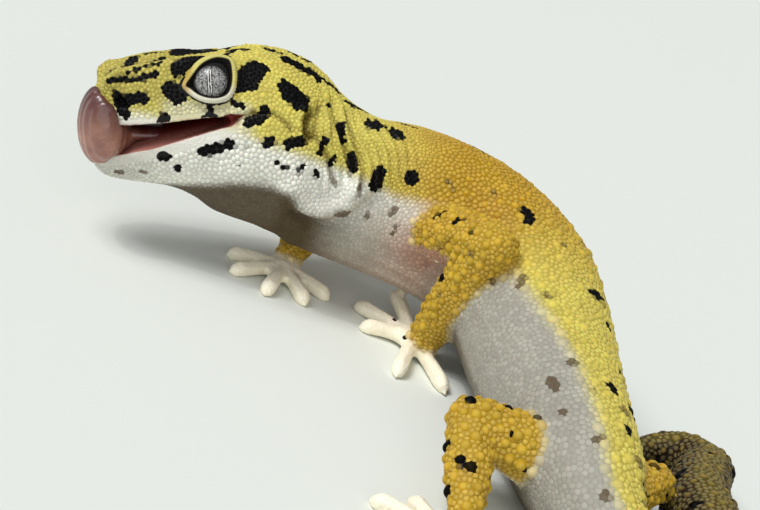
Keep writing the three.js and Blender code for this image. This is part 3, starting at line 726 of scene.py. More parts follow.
# %% Spots of the head and neck
HEAD_SPOTS = [
    # snout and nostril; the first stroke lies over the nostril and also paints the shade in its
    # opening
    ((23.6, 4.8, 3.1), (23.0, 5.3, 1.7), 0.8), ((23.9, 4.4, 3.7), (22.9, 4.9, 3.3), 0.5),
    ((23.1, 5.1, 3.1), (20.7, 5.9, 3.5), 0.79),
    ((21.4, 4.9, 5.9), (19.2, 5.2, 6.8), 0.45), ((24.6, 3.9, 5.2), (22.4, 4.5, 5.8), 0.3),
    ((22.4, 4.6, 5.7), (21.0, 5.1, 5.9), 0.4), ((22.6, 4.1, 6.5), (18.6, 4.7, 8.0), 0.24),
    ((19.6, 3.4, 7.9), (17.4, 3.8, 8.4), 0.3), ((21.6, 2.6, 7.2), (20.0, 3.0, 7.9), 0.3),
    ((23.0, 0.4, 6.5), (20.8, 2.0, 7.5), 0.85), ((19.6, 0.4, 8.0), (17.6, 1.6, 8.5), 0.5),
    ((24.4, -1.2, 5.8), (23.4, -1.0, 6.3), 0.7),
    # round the eye
    ((17.4, 6.5, 4.8), (16.6, 6.8, 3.9), 1.14), ((16.6, 5.7, 7.3), (14.4, 4.9, 9.0), 0.9),
    ((14.4, 4.9, 9.0), (11.2, 4.6, 9.4), 0.95), ((15.4, 3.4, 8.8), (10.6, 2.4, 9.2), 0.9),
    ((9.8, 2.2, 9.4), (8.8, 1.6, 9.4), 0.5), ((11.2, 4.0, 9.6), (9.8, 3.4, 9.5), 0.62),
    ((8.3, 7.1, 6.5), (6.4, 5.7, 7.9), 1.47), ((6.0, 5.6, 8.0), (5.5, 5.6, 8.0), 0.9),
    ((7.2, 7.5, 6.0), (9.0, 7.5, 5.8), 0.76), ((9.8, 8.3, 3.7), (8.6, 8.5, 3.5), 0.45),
    # crown and temple
    ((9.0, 0.6, 9.6), (6.6, 1.8, 9.6), 0.42), ((4.6, 1.5, 9.6), (2.6, 2.2, 9.2), 0.4),
    ((1.9, 3.5, 8.7), (-2.1, 4.3, 6.8), 0.76), ((-2.6, 4.0, 6.4), (-5.7, 2.9, 4.7), 0.48),
    ((2.7, 7.7, 5.8), (1.0, 8.5, 4.3), 1.32), ((0.6, 0.6, 8.9), (-1.6, 1.2, 7.9), 0.42),
    # lips and corner of the mouth
    ((12.7, 7.8, 2.6), (12.7, 7.9, 1.7), 0.55), ((13.4, 7.8, 1.5), (12.0, 8.0, 1.6), 0.4),
    ((18.2, 6.6, 1.2), (18.4, 6.5, 0.6), 0.75), ((5.8, 9.1, 3.0), (6.4, 9.3, 1.9), 0.8),
    ((7.9, 9.1, 1.6), (7.5, 9.2, 1.7), 0.73),
    # lower jaw
    ((13.3, 7.7, -2.9), (10.0, 8.8, -1.5), 0.67), ((18.1, 6.3, -3.7), (17.9, 6.3, -3.8), 0.76),
    ((16.4, 6.0, -5.5), (16.0, 6.3, -5.3), 0.51), ((5.5, 10.0, -0.9), (5.3, 10.0, -0.9), 0.8),
    ((2.9, 10.4, -1.0), (1.0, 10.4, -0.4), 0.72), ((8.9, 9.0, -4.3), (8.9, 8.9, -4.5), 0.23),
    ((4.3, 10.4, -3.4), (4.3, 10.4, -3.6), 0.29), ((3.4, 10.6, -4.1), (3.2, 10.6, -4.0), 0.3),
    ((1.3, 10.6, -4.5), (0.5, 10.7, -3.6), 0.26), ((-1.0, 10.9, -4.8), (-1.1, 10.9, -5.0), 0.5),
    # neck and shoulder
    ((-2.9, 6.7, 3.2), (-3.5, 7.3, 3.9), 0.39), ((-2.3, 10.2, -0.4), (-1.5, 10.7, -2.1), 0.46),
    ((-4.7, 8.6, 1.6), (-4.7, 9.9, -0.3), 0.47), ((-3.3, 10.9, -2.5), (-3.0, 10.9, -3.6), 0.34),
    ((-6.9, 3.9, 3.6), (-10.0, 2.0, 2.2), 0.65), ((-9.6, 6.6, 1.2), (-10.9, 5.8, 1.1), 1.1),
    ((-13.1, 6.8, 0.5), (-13.0, 7.8, 0.1), 0.95), ((-14.8, 3.0, 0.9), (-16.6, 4.5, 0.6), 0.36),
    ((-6.0, 10.6, -2.2), (-5.8, 11.2, -3.9), 0.6), ((-9.4, 11.5, -4.3), (-8.8, 11.9, -5.7), 1.02),
    ((-13.8, 12.1, -4.7), (-13.8, 12.1, -4.9), 0.97),
]
FAINT_SPOTS = [
    ((23.4, 3.2, -6.6), (22.8, 3.6, -6.6), 0.5), ((20.6, 4.8, -6.6), (20.2, 5.0, -6.6), 0.38),
    ((7.9, 8.8, -1.8), (7.9, 9.0, -1.8), 0.26), ((-3.6, 11.0, -5.9), (-3.6, 11.0, -6.0), 0.52),
    ((-6.7, 11.5, -5.9), (-6.7, 11.5, -6.4), 0.39),
    ((-11.3, 12.1, -9.7), (-11.7, 12.4, -9.0), 0.49),
    ((-12.2, 12.3, -11.3), (-11.8, 11.9, -12.7), 0.34),
    ((-4.9, 10.6, -10.1), (-5.1, 10.7, -10.2), 1.05),
    ((-8.2, 11.5, -10.2), (-8.2, 11.5, -10.3), 0.53),
]
FLOOR_SPOTS = [                # on the floor's axes: shoulder, back, arm, flank
    ((15.3, -14.4, 24.6), (16.0, -15.7, 23.9), 0.85), ((5.8, -3.5, 27.1), (8.1, -5.8, 27.3), 0.3),
    ((4.1, -18.3, 19.5), (5.2, -18.7, 21.0), 0.29), ((6.8, -20.5, 21.1), (7.6, -21.0, 21.7), 0.52),
    ((9.4, -23.3, 21.6), (9.5, -23.3, 21.6), 0.42), ((8.3, -20.9, 13.3), (8.4, -21.0, 13.3), 0.39),
    ((5.3, -13.6, 2.3), (5.5, -13.8, 2.3), 0.25), ((7.6, -17.6, 2.2), (7.7, -17.6, 2.2), 0.3),
]
FLOOR_FAINT = [
    ((21.5, -17.0, 23.4), (21.5, -17.1, 23.3), 0.52), ((4.1, -14.7, 24.1), (5.3, -15.0, 23.6), 0.4),
    ((10.5, -13.6, 24.9), (10.6, -13.6, 24.9), 0.47),
    ((10.2, -24.5, 19.1), (10.3, -24.7, 19.0), 0.53),
    ((9.0, -22.1, 11.3), (9.1, -22.2, 11.3), 0.5), ((14.6, -23.9, 16.8), (14.1, -24.6, 17.1), 0.51),
    ((17.6, -24.5, 19.4), (17.6, -25.9, 18.5), 0.6),
    ((21.0, -27.1, 19.5), (21.1, -27.3, 19.5), 0.7),
    ((4.2, -18.2, 15.3), (4.2, -18.2, 15.2), 0.35), ((6.6, -20.6, 16.5), (6.7, -20.7, 16.5), 0.4),
]
print(len(HEAD_SPOTS), "black spots a side on head and neck;", len(FLOOR_SPOTS), "on the body")

# %% How far each corner is from the edge of a spot
FAR = 3.0                      # a distance to a spot is not kept beyond this, in mm
UNEVEN = 0.5                   # the right side's spots stray from the left side's by this much


def gap_to_stroke(start, end, places, reach):
    """Distance from each place to the straight stroke from start to end."""
    gaps = np.full(len(places), reach)
    low, high = np.minimum(start, end) - reach, np.maximum(start, end) + reach
    near = np.flatnonzero(((places > low) & (places < high)).all(axis=1))
    stroke = end - start
    part = np.clip((places[near] - start) @ stroke / max(stroke @ stroke, 1e-9), 0, 1)
    gaps[near] = np.linalg.norm(places[near] - start - part[:, None] * stroke, axis=1)
    return np.minimum(gaps, reach)


def spotted(field, strokes):
    """Lowers the field to the signed distance from the edge of the nearest stroke."""
    for start, end, half_width in strokes:
        start, end = (np.array(bare_skin_tree.find(p)[0]) for p in (start, end))
        gap = gap_to_stroke(start, end, smooth_skin, FAR + half_width) - half_width
        np.minimum(field, gap, out=field)


def strokes_on_head(spots, side=1, shift=0.0):
    for n, (start, end, half_width) in enumerate(spots):
        slip = shift * np.array([math.sin(5 * n), 0, math.cos(7 * n)])
        turn = (1, side, 1)
        yield (on_head((np.array(start) + slip) * turn), on_head((np.array(end) + slip) * turn),
               half_width * (1 + 0.3 * shift * math.sin(11 * n)))


black, faint = np.full(len(skin), FAR), np.full(len(skin), FAR)
for field, head_spots, floor_spots in ((black, HEAD_SPOTS, FLOOR_SPOTS),
                                       (faint, FAINT_SPOTS, FLOOR_FAINT)):
    spotted(field, strokes_on_head(head_spots))
    spotted(field, strokes_on_head(head_spots, side=-1, shift=UNEVEN))
    spotted(field, [(floor_origin + a, floor_origin + b, r) for a, b, r in floor_spots])
print(int((black < 0).sum()), "black corners,", int((faint < 0).sum()), "faint ones")

# %% [markdown]
# ## Scattered spots
#
# On the far side of the back, the hind legs and the tail no spot has a set place. They could be
# typed in as the others are, but it is enough that they look like one animal's: corners of the
# skin are drawn at random, none too near to another, and each gets a short stroke in a random
# direction. The seed is fixed, so the same spots come back on every run.

# %% Spots scattered over the far side of the back, the legs and the tail
SEED = 11
chance = np.random.default_rng(SEED)


def scatter_spots(field, allowed, number, spacing, widths, length):
    """Short strokes on random corners of the skin, no two nearer than spacing."""
    places = []
    for i in chance.permutation(np.flatnonzero(allowed)):
        if all(np.linalg.norm(skin[i] - p) > spacing for p in places):
            places.append(skin[i])
        if len(places) == number:
            break
    strokes = []
    for p in places:
        heading = unit(chance.normal(size=3)) * chance.uniform(0, length)
        strokes.append((p - heading, p + heading, chance.uniform(*widths)))
    spotted(field, strokes)
    return len(strokes)


far_back = is_trunk & (round_back < -14) & (round_back > -92) & (along > 30)
rear_back = is_trunk & (abs(round_back) < 40) & (along > 70)
tail_top = is_tail & (abs(round_back) < 120)
hind_legs = is_limb & (on_floor[:, 1] < -35)
# the arguments after the place: how many, how far apart, half widths and longest half length
made = [scatter_spots(black, far_back, 26, 4.2, (0.5, 1.0), 0.9),
        scatter_spots(faint, rear_back, 14, 4.5, (0.4, 0.8), 0.8),
        scatter_spots(black, hind_legs, 22, 3.2, (0.3, 0.6), 0.5),
        scatter_spots(black, tail_top, 26, 4.5, (0.4, 0.9), 1.2)]
print("scattered", made, "spots")

# %% [markdown]
# ## Paint
#
# The skin and the scales share one colour recipe, so it is made once as a node group. It reads
# the numbers that each corner carries and lays one colour over another in the order a painter
# would: yellow, then ochre, white, pink, painted shade under the jaw, chest and flank, tail brown,
# the pale toes, painted shade in the creases, the inside of the mouth with painted shade deep in
# it, faint spots, black spots. A second group breaks every colour up into slightly lighter and
# darker flecks, since no patch of living skin is one even colour.

# %% Small helpers for nodes
def add_node(tree, kind, inputs=(), **settings):
    """A new node with its settings made and its inputs linked to sockets or given values."""
    node = tree.nodes.new(kind)
    for name, value in settings.items():
        setattr(node, name, value)
    for name, value in dict(inputs).items():
        if isinstance(value, bpy.types.NodeSocket):
            tree.links.new(value, node.inputs[name])
        else:
            node.inputs[name].default_value = value
    return node


def calc(tree, operation, a, b=0.0):
    return add_node(tree, "ShaderNodeMath", {0: a, 1: b}, operation=operation).outputs[0]


def lay_over(tree, under, over, amount):
    """The colour over laid on the colour under, by amount."""
    mix = add_node(tree, "ShaderNodeMix", {0: amount, 6: under, 7: over}, data_type="RGBA")
    return mix.outputs[2]


def toned(tree, colour, value):
    """The colour made lighter or darker by the factor value."""
    return add_node(tree, "ShaderNodeHueSaturation", {"Value": value, "Color": colour}).outputs[0]


def carried(tree, name):
    """A number that the corners of the mesh carry."""
    return add_node(tree, "ShaderNodeAttribute", attribute_name=name).outputs["Fac"]


def ramped(tree, value, low, high, to_low=0.0, to_high=1.0):
    node = add_node(tree, "ShaderNodeMapRange",
                    {"Value": value, "From Min": low, "From Max": high,
                     "To Min": to_low, "To Max": to_high}, interpolation_type="SMOOTHSTEP")
    return node.outputs["Result"]


def noise_in_mm(tree, per_mm):
    """Noise over the model's own place in millimetres, around 0.5."""
    where = add_node(tree, "ShaderNodeTexCoord").outputs["Object"]
    sized = add_node(tree, "ShaderNodeMapping", {0: where, 3: [1 / MM] * 3})
    noise = add_node(tree, "ShaderNodeTexNoise", {"Vector": sized.outputs[0], "Scale": per_mm,
                                                  "Detail": 3.0})
    return noise.outputs["Fac"]


# %% Helpers for groups and colours
def new_group(name, inputs, outputs):
    """An empty node group. inputs are (name, starting value); a colour has four numbers."""
    group = bpy.data.node_groups.new(name, "ShaderNodeTree")
    for title, start in inputs:
        kind = "NodeSocketColor" if hasattr(start, "__len__") else "NodeSocketFloat"
        group.interface.new_socket(title, in_out="INPUT", socket_type=kind).default_value = start
    for title, kind in outputs:
        group.interface.new_socket(title, in_out="OUTPUT", socket_type="NodeSocket" + kind)
    return group, add_node(group, "NodeGroupInput"), add_node(group, "NodeGroupOutput")


def srgb(red, green, blue):
    """A colour as seen on a screen, 0 to 255, in the linear numbers that shaders use."""
    def linear(c):
        c /= 255
        return c / 12.92 if c <= 0.04045 else ((c + 0.055) / 1.055) ** 2.4
    return (linear(red), linear(green), linear(blue), 1.0)


print("mid grey is", round(srgb(128, 128, 128)[0], 3), "in linear numbers")

# %% Group: flecks
group, given, result = new_group(
    "flecks", [("Colour", (1, 1, 1, 1)), ("Fine", 2.2), ("Strength", 0.2)], [("Colour", "Color")])
broad = noise_in_mm(group, 0.25)
fine = noise_in_mm(group, 1.0)
group.links.new(given.outputs["Fine"], fine.node.inputs["Scale"])
uneven = calc(group, "ADD", calc(group, "SUBTRACT", broad, 0.5), calc(group, "SUBTRACT", fine, 0.5))
value = calc(group, "ADD", 1.0, calc(group, "MULTIPLY", uneven, given.outputs["Strength"]))
shift = add_node(group, "ShaderNodeHueSaturation", {
    "Hue": calc(group, "ADD", 0.5, calc(group, "MULTIPLY", uneven, 0.02)),
    "Value": value, "Color": given.outputs["Colour"]})
group.links.new(shift.outputs["Color"], result.inputs["Colour"])
flecks = group
print("group:", flecks.name, "with", len(group.nodes), "nodes")

# %% Group: living colours
# three of these layers are painted shade: under the jaw, chest and flank, in the creases, and deep
# in the mouth
LAYERS = [                     # layer, colour, the number that says how much of it
    ("Ochre", srgb(178, 134, 0), "ochre"), ("White", srgb(232, 230, 218), "white"),
    ("Pink", srgb(184, 142, 124), "pink"), ("Painted shade", srgb(80, 66, 44), "dusk"),
    ("Tail", srgb(42, 25, 11), "brown"),
    ("Bare", srgb(252, 244, 220), "hand"), ("Crease shade", srgb(78, 50, 14), "crease"),
    ("Mouth", srgb(170, 112, 100), "mouth"), ("Gape shade", srgb(84, 22, 16), "gape"),
]
group, given, result = new_group(
    "living colours",
    [("Yellow", srgb(206, 192, 88))] + [(name, colour) for name, colour, _ in LAYERS]
    + [("Faint", srgb(78, 56, 22)), ("Black", srgb(3, 2, 2)), ("Wobble", 0.3)],
    [("Colour", "Color"), ("Spot", "Float"), ("Wet", "Float")])
colour = given.outputs["Yellow"]
for name, _, number in LAYERS:
    colour = lay_over(group, colour, given.outputs[name], carried(group, number))
wobble = calc(group, "MULTIPLY", calc(group, "SUBTRACT", noise_in_mm(group, 1.3), 0.5),
              given.outputs["Wobble"])
faint_mask = ramped(group, calc(group, "ADD", carried(group, "faint"), wobble), 0.12, -0.25, 0, 0.8)
black_mask = ramped(group, calc(group, "ADD", carried(group, "black"), wobble), 0.07, -0.07)
colour = lay_over(group, colour, given.outputs["Faint"], faint_mask)
colour = lay_over(group, colour, given.outputs["Black"], black_mask)
group.links.new(colour, result.inputs["Colour"])
group.links.new(black_mask, result.inputs["Spot"])
group.links.new(carried(group, "mouth"), result.inputs["Wet"])
living_colours = group
print("groups:", flecks.name, "and", living_colours.name, "with", len(LAYERS), "layers")


# %% [markdown]
# ## Material of the skin
#
# Between the scales the skin is painted a shade darker than on top of them, as the shade in the
# grooves; on the toes it is bare and granular, and in the mouth it is wet. Three materials could
# be used, but their borders would show as lines, so one material changes its roughness with the
# number that says where the mouth is. The lining of the mouth is the same recipe with a thin clear
# coat, which has to be the same all over a material, and its border is hidden behind the lips.

# %% Material of the skin
def start_material(name, **finish):
    """A new material; finish gives the shader's own sockets, with _ for each space."""
    material = bpy.data.materials.new(name)
    material.use_nodes = True
    shader = material.node_tree.nodes["Principled BSDF"]
    for socket, value in finish.items():
        shader.inputs[socket.replace("_", " ")].default_value = value
    return material, material.node_tree, shader


def flecked(tree, colour, fleck_size, fleck_strength):
    """The colour broken up by the flecks group."""
    return add_node(tree, "ShaderNodeGroup", {
        "Colour": colour, "Fine": fleck_size, "Strength": fleck_strength},
        node_tree=flecks).outputs["Colour"]


def coloured(tree, wobble, fleck_size, fleck_strength):
    """Places both groups and gives the recipe node and the broken-up colour."""
    recipe = add_node(tree, "ShaderNodeGroup", {"Wobble": wobble}, node_tree=living_colours)
    return recipe, flecked(tree, recipe.outputs["Colour"], fleck_size, fleck_strength)


def bumped(tree, shader, height, depth_mm):
    """Sets a bump of so many millimetres on the shader's normal."""
    bump = add_node(tree, "ShaderNodeBump", {"Height": height, "Distance": depth_mm * MM,
                                             "Strength": 1.0})
    tree.links.new(bump.outputs["Normal"], shader.inputs["Normal"])


SOFT_FLESH = {"Subsurface_Weight": 0.08, "Subsurface_Scale": 0.8 * MM}
print("light goes", SOFT_FLESH["Subsurface_Scale"] / MM, "mm deep into the flesh")


# %% The skin's own recipe
def skin_material(name, between, **finish):
    """Skin: darker between the scales as painted shade, granular where it is bare, wet in the
    mouth.
    """
    material, tree, shader = start_material(name, **finish, **SOFT_FLESH)
    recipe, colour = coloured(tree, 0.3, 3.0, 0.25)
    # painted shade: the skin between the scales is darkened by the factor between, for the shade in
    # the grooves
    shade = ramped(tree, carried(tree, "scaled"), 0.2, 0.8, 1.0, between)
    tree.links.new(toned(tree, colour, shade), shader.inputs["Base Color"])
    tree.links.new(ramped(tree, recipe.outputs["Wet"], 0.2, 0.8, 0.5, 0.3),
                   shader.inputs["Roughness"])
    where = add_node(tree, "ShaderNodeTexCoord").outputs["Object"]
    grains = add_node(tree, "ShaderNodeTexVoronoi", {"Vector": where, "Scale": 2.6 / MM})
    grain = calc(tree, "SUBTRACT", 1.0, grains.outputs["Distance"])
    wrinkle = calc(tree, "MULTIPLY", noise_in_mm(tree, 1.6), 0.8)
    bumped(tree, shader, calc(tree, "ADD", grain, wrinkle), 0.06)
    return material


skin_paint = skin_material("gecko skin", 0.82, Specular_IOR_Level=0.25)
lining_paint = skin_material("mouth lining", 1.0, Specular_IOR_Level=0.08, Coat_Weight=0.12,
                             Coat_Roughness=0.15)
print("materials:", skin_paint.name, "and", lining_paint.name)


# %% Building a mesh from arrays
def mesh_object(name, points, faces, materials, numbers=()):
    """A smooth-shaded object in metres from corners in mm, with the numbers its corners carry."""
    mesh = bpy.data.meshes.new(name)
    sizes = np.array([len(f) for f in faces])
    corners = np.concatenate(faces)
    mesh.vertices.add(len(points))
    mesh.vertices.foreach_set("co", (np.asarray(points) * MM).ravel())
    mesh.loops.add(len(corners))
    mesh.loops.foreach_set("vertex_index", corners.astype(np.int32))
    mesh.polygons.add(len(sizes))
    mesh.polygons.foreach_set("loop_start", np.concatenate([[0], np.cumsum(sizes)[:-1]]))
    mesh.polygons.foreach_set("use_smooth", np.ones(len(sizes), bool))
    mesh.update(calc_edges=True)
    mesh.validate()
    for title, values in dict(numbers).items():
        layer = mesh.attributes.new(title, "FLOAT", "POINT")
        layer.data.foreach_set("value", np.asarray(values, np.float32))
    for material in materials:
        mesh.materials.append(material)
    piece = bpy.data.objects.new(name, mesh)
    bpy.context.scene.collection.objects.link(piece)
    return piece


# %% Fitting a piece to the solid model
def fitted(piece, nodes=()):
    """Attaches a piece to the root body, hides the CAD nodes it stands for, and counts its
    triangles.
    """
    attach(piece, "root")
    if nodes:
        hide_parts(*nodes)
    triangles = sum(len(p.vertices) - 2 for p in piece.data.polygons)
    print(f"{piece.name}: {triangles} triangles")
    return triangles


# %% [markdown]
# ## Where scales may stand
#
# Scales cover everything but the toes, the lips, the opening of the lids, the inside of the
# mouth and the soles. One more number says so, and it also tells the skin's material where it
# lies between scales. Under the lower lid runs a thin black line without scales, a painted shadow
# under the rim, which makes the pale rim stand out. Scales could be deleted afterwards where they
# do not belong, but then the ones beside them would not close up to the edge.

# %% Where scales may stand
lip_gap = np.full(len(skin), FAR)
UPPER_LIP = [(24.5, 3.6, 0.0), (21.0, 5.6, 0.3), (18.0, 6.6, 0.8), (15.0, 7.4, 1.1),
             (12.0, 8.0, 1.6)]
LOWER_LIP = [(25.0, 2.6, -5.2), (21.0, 5.4, -4.0), (17.0, 6.8, -2.8), (13.0, 7.7, -1.2),
             (9.6, 8.4, 0.6)]
SOLE = 0.35                    # no scales lower than this over the floor, in mm
for lip in (UPPER_LIP, LOWER_LIP):
    for side in (1, -1):
        lip_gap = np.minimum(lip_gap, gap_to(drawn_on_skin(lip, side), skin, FAR))
scaled = (1 - hand) * blend_step(0.55, 1.0, lip_gap)
for side in (1, -1):
    off_eye, far_off, within = seen_along_gaze(side)
    by_the_eye = far_off < 6.5
    scaled *= np.where(by_the_eye, blend_step(-0.2, -0.24, within), 1)
    # painted shadow: a thin black line in the skin just under the lower lid's rim
    shadow_under_lid = by_the_eye & (off_eye[:, 1] < 0.6) & (within > -0.23) & (within < 0.1)
    black[shadow_under_lid] = np.minimum(black[shadow_under_lid], -0.1)
scaled *= (mouth < 0.05) * (on_floor[:, 2] > SOLE)
black[mouth > 0.3] = faint[mouth > 0.3] = FAR
print(int((scaled > 0.5).sum()), "corners may carry scales")

# %% Leave out the bubble
# Where solids meet, the remesh can leave a bubble inside the body, which ironing shrinks to a
# point. Its corners have no normal: they are left out of the skin and carry no scale.
lost = np.linalg.norm(skin_normal, axis=1) < 0.5
skin_normal[lost] = HEAD_UP
renumbered = np.cumsum(~lost) - 1
sound_squares = squares[~lost[squares].any(axis=1)]
print(int(lost.sum()), "corners and", len(squares) - len(sound_squares), "squares left out, within",
      np.ptp(skin[lost], axis=0).max().round(4) if lost.any() else 0, "mm")

# %% The skin as one mesh
# three of these numbers carry painted shade: under the jaw, chest and flank, in the creases, and
# deep in the mouth
numbers = {
    "dusk": dusk, "crease": 0.5 * (1 - blend_step(0.1, 0.5, crease)), "gape": mouth * deep,
    "white": white, "ochre": ochre, "brown": brown, "pink": pink, "hand": hand,
    "mouth": mouth, "black": black, "faint": faint,
}
on_corners = {title: values[~lost] for title, values in (numbers | {"scaled": scaled}).items()}
skin_piece = mesh_object("gecko_skin", skin[~lost], renumbered[sound_squares],
                         [skin_paint, lining_paint], on_corners)
lining = (mouth[sound_squares].mean(axis=1) > 0.5).astype(np.int32)
skin_piece.data.polygons.foreach_set("material_index", lining)
total = fitted(skin_piece, FLESH)

# %% [markdown]
# ## Scales
#
# A leopard gecko is covered in tiny round scales that touch each other like tiles of a mosaic,
# about 15 to a centimetre, and between them on the back, legs and tail stand larger pimples.
# Particles could scatter them, but then they would be lost when the model leaves Blender, so
# they are real mesh. First the places: random corners of the skin, kept a scale's width apart,
# and then moved twice to the middle of the patch of skin nearest to each, which makes the
# spacing even. Each scale's outline runs half-way to its neighbours, so that they fit together.

# %% Where the scales stand
def spread_out(allowed, spacing):
    """Random corners of the skin at least their own spacing apart."""
    blocked = ~allowed
    chosen = []
    for i in chance.permutation(np.flatnonzero(allowed)):
        if not blocked[i]:
            chosen.append(i)
            for _, j, _ in skin_now_tree.find_range(skin[i], spacing[i]):
                blocked[j] = True
    return np.array(chosen)


def evened(seeds, allowed, times):
    """Moves each seed to the middle of its patch; gives the places and every corner's patch."""
    corners = np.flatnonzero(allowed)
    places = skin[seeds]
    for _ in range(times):
        tree = tree_of(places)
        patch = nearest_of(tree, skin[corners])
        size = np.maximum(np.bincount(patch, minlength=len(places)), 1)
        total_of = [np.bincount(patch, skin[corners, a], len(places)) for a in range(3)]
        places = np.where(size[:, None] > 1, np.stack(total_of, 1) / size[:, None], places)
    return places, nearest_of(skin_now_tree, places)


# each zone's spacing in mm, later ones over earlier ones
skin_now_tree = tree_of(skin)
spacing = np.where(is_head, 0.56, np.where(is_tail, 0.76, np.where(is_limb, 0.62, 0.68)))
spacing = np.where(is_head & (z < 1.2) & (x < 20), 0.62, spacing)
spacing = np.where(is_head & (x > 14) & (z > 0), 0.5, spacing)
spacing = np.where(dusk > 0.6, 0.5, spacing)
spacing = np.where((x < 0) & (along < 24) & ~is_limb, 0.52, spacing)
spacing = softened(spacing, 10)
bead_ground = scaled > 0.5
seeds = spread_out(bead_ground, spacing * 0.82)    # random places lie looser than even ones
bead_place, bead_root = evened(seeds, bead_ground, 2)
print(len(bead_place), "small scales")

# %% Where the pimples stand
upper = abs(round_back) < 84
pimple_ground = ((is_trunk & upper & (along > 27) & (white < 0.6)) | (is_limb & (lower_side < 0.3))
                 | (is_tail & (abs(round_back) < 110))) & bead_ground
temple = is_head & (x < 6.5) & (z > -0.5) & bead_ground
pimple_spacing = np.where(is_limb, 1.35, 1.85)
pimples = np.concatenate([spread_out(pimple_ground, pimple_spacing),
                          spread_out(temple, np.full(len(skin), 2.0))])
pimple_tree = tree_of(skin[pimples])
width_of_pimple = np.where(is_head[pimples], 0.4, np.where(is_limb[pimples], 0.6, 0.64))
width_of_pimple *= 1 - 0.45 * blend_step(46, 27, along[pimples]) * is_trunk[pimples]
width_of_pimple *= chance.uniform(0.8, 1.15, len(pimples))
nearest_pimple = [pimple_tree.find(p)[1:] for p in bead_place]
clear = np.array([gap > 0.8 * width_of_pimple[i] for i, gap in nearest_pimple])
bead_place, bead_root = bead_place[clear], bead_root[clear]
print(len(pimples), "pimples, and", len(bead_place), "small scales left between them")


# %% [markdown]
# ## One scale, many times
#
# A small scale is a low dome of seven sides whose rim dips under the skin; a pimple is a taller
# cone with a rounded tip. Both are rings of corners round a root, so one function makes all of
# them at once with arrays. A scale takes its root's colour numbers whole, which gives every
# black spot the stepped edge of real scales. The map named OFBake puts each scale on a little
# patch of its own, at its root's place on the unrolled skin.

# %% The unrolled skin
LIMB_NAMES = [n for n in FLESH if n.startswith(("upper", "fore", "thigh", "shank", "hand", "foot"))]


def unrolled(roots):
    """A place on the unrolled skin for each root: the body below, the legs in strips above."""
    u = 0.02 + 0.96 * along[roots] / spine_at[-1]
    v = 0.25 + 0.44 * round_back[roots] / 360
    for n, name in enumerate(LIMB_NAMES):
        own = np.flatnonzero(node_of[roots] == FLESH.index(name))
        low, high = (np.array(c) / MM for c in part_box(name))
        part = (skin[roots[own]] - low) / (high - low)
        ahead = skin[roots[own], 0] - (low + high)[0] / 2
        aside = skin[roots[own], 1] - (low + high)[1] / 2
        turn = np.arctan2(aside, ahead) / (2 * math.pi) + 0.5
        u[own] = (n % 4 + 0.05 + 0.9 * turn) / 4
        v[own] = 0.5 + (n // 4 + 0.05 + 0.9 * part[:, 2]) / 4 * 0.5
    return np.stack([u, v], axis=1)


print(len(LIMB_NAMES), "limb solids have a strip of their own on the unrolled skin")


# %% Directions across the skin and round a scale
def across_skin(roots):
    """The skin's normal at each root, and two directions across the skin."""
    facing = skin_normal[roots]
    first = np.cross(facing, [0.31, 0.17, 0.93])
    first /= np.linalg.norm(first, axis=1)[:, None]
    return facing, first, np.cross(facing, first)


def ways_round(sides):
    """The directions of a scale's corners, as places on a circle."""
    angle = np.arange(sides) * 2 * math.pi / sides
    return np.stack([np.cos(angle), np.sin(angle)], axis=1)


# %% Rings of corners round every root
PATCH = 0.0015                 # half the size of a scale's patch on the map
UNEVEN_EDGE = 0.12             # a scale this near the edge of a spot may fall on either side


def planted(name, places, roots, reach, heights, rings, material):
    """Scales of len(reach[0]) sides: reach is each one's radius by direction, in mm."""
    stray = chance.uniform(-UNEVEN_EDGE, UNEVEN_EDGE, len(roots))
    own_shade = chance.uniform(0, 1, len(roots))
    places, roots, reach, heights, stray, own_shade = (
        values[~lost[roots]] for values in (places, roots, reach, heights, stray, own_shade))
    count, sides = reach.shape
    facing, first, second = across_skin(roots)
    ways = ways_round(sides)
    spokes = ways[None, :, :1] * first[:, None] + ways[None, :, 1:] * second[:, None]
    layers, flat, rise = [], [], []
    for width, height in rings:
        layers.append(places[:, None] + spokes * (reach * width)[:, :, None]
                      + (facing * heights[:, None] * height)[:, None])
        flat.append(ways * min(width, 1.0))
        rise.append(np.full(sides, max(height, 0.0)))
    top = places + facing * heights[:, None]
    points = np.concatenate([np.concatenate(layers, axis=1), top[:, None]], axis=1)
    flat = np.concatenate(flat + [np.zeros((1, 2))])
    rise = np.concatenate(rise + [np.ones(1)])
    per_scale = len(flat)
    faces = []
    for ring in range(len(rings) - 1):
        for k in range(sides):
            a, b = ring * sides + k, ring * sides + (k + 1) % sides
            faces.append([a, b, b + sides, a + sides])
    last = (len(rings) - 1) * sides
    caps = [[last + k, last + (k + 1) % sides, per_scale - 1] for k in range(sides)]
    starts = (np.arange(count) * per_scale)[:, None, None]
    quads = (starts + np.array(faces)).reshape(-1, 4)
    tips = (starts + np.array(caps)).reshape(-1, 3)
    carried_numbers = {key: np.repeat(values[roots], per_scale) for key, values in numbers.items()}
    carried_numbers["black"] += np.repeat(stray, per_scale)
    carried_numbers["rise"] = np.tile(rise, count)
    carried_numbers["own_shade"] = np.repeat(own_shade, per_scale)
    piece = mesh_object(name, points.reshape(-1, 3), list(quads) + list(tips), [material],
                        carried_numbers)
    patches = unrolled(roots)[:, None] + flat[None] * PATCH
    corner_of_loop = np.zeros(len(piece.data.loops), np.int32)
    piece.data.loops.foreach_get("vertex_index", corner_of_loop)
    layer = piece.data.uv_layers.new(name="OFBake")
    layer.data.foreach_set("uv", patches.reshape(-1, 2)[corner_of_loop].ravel())
    return piece


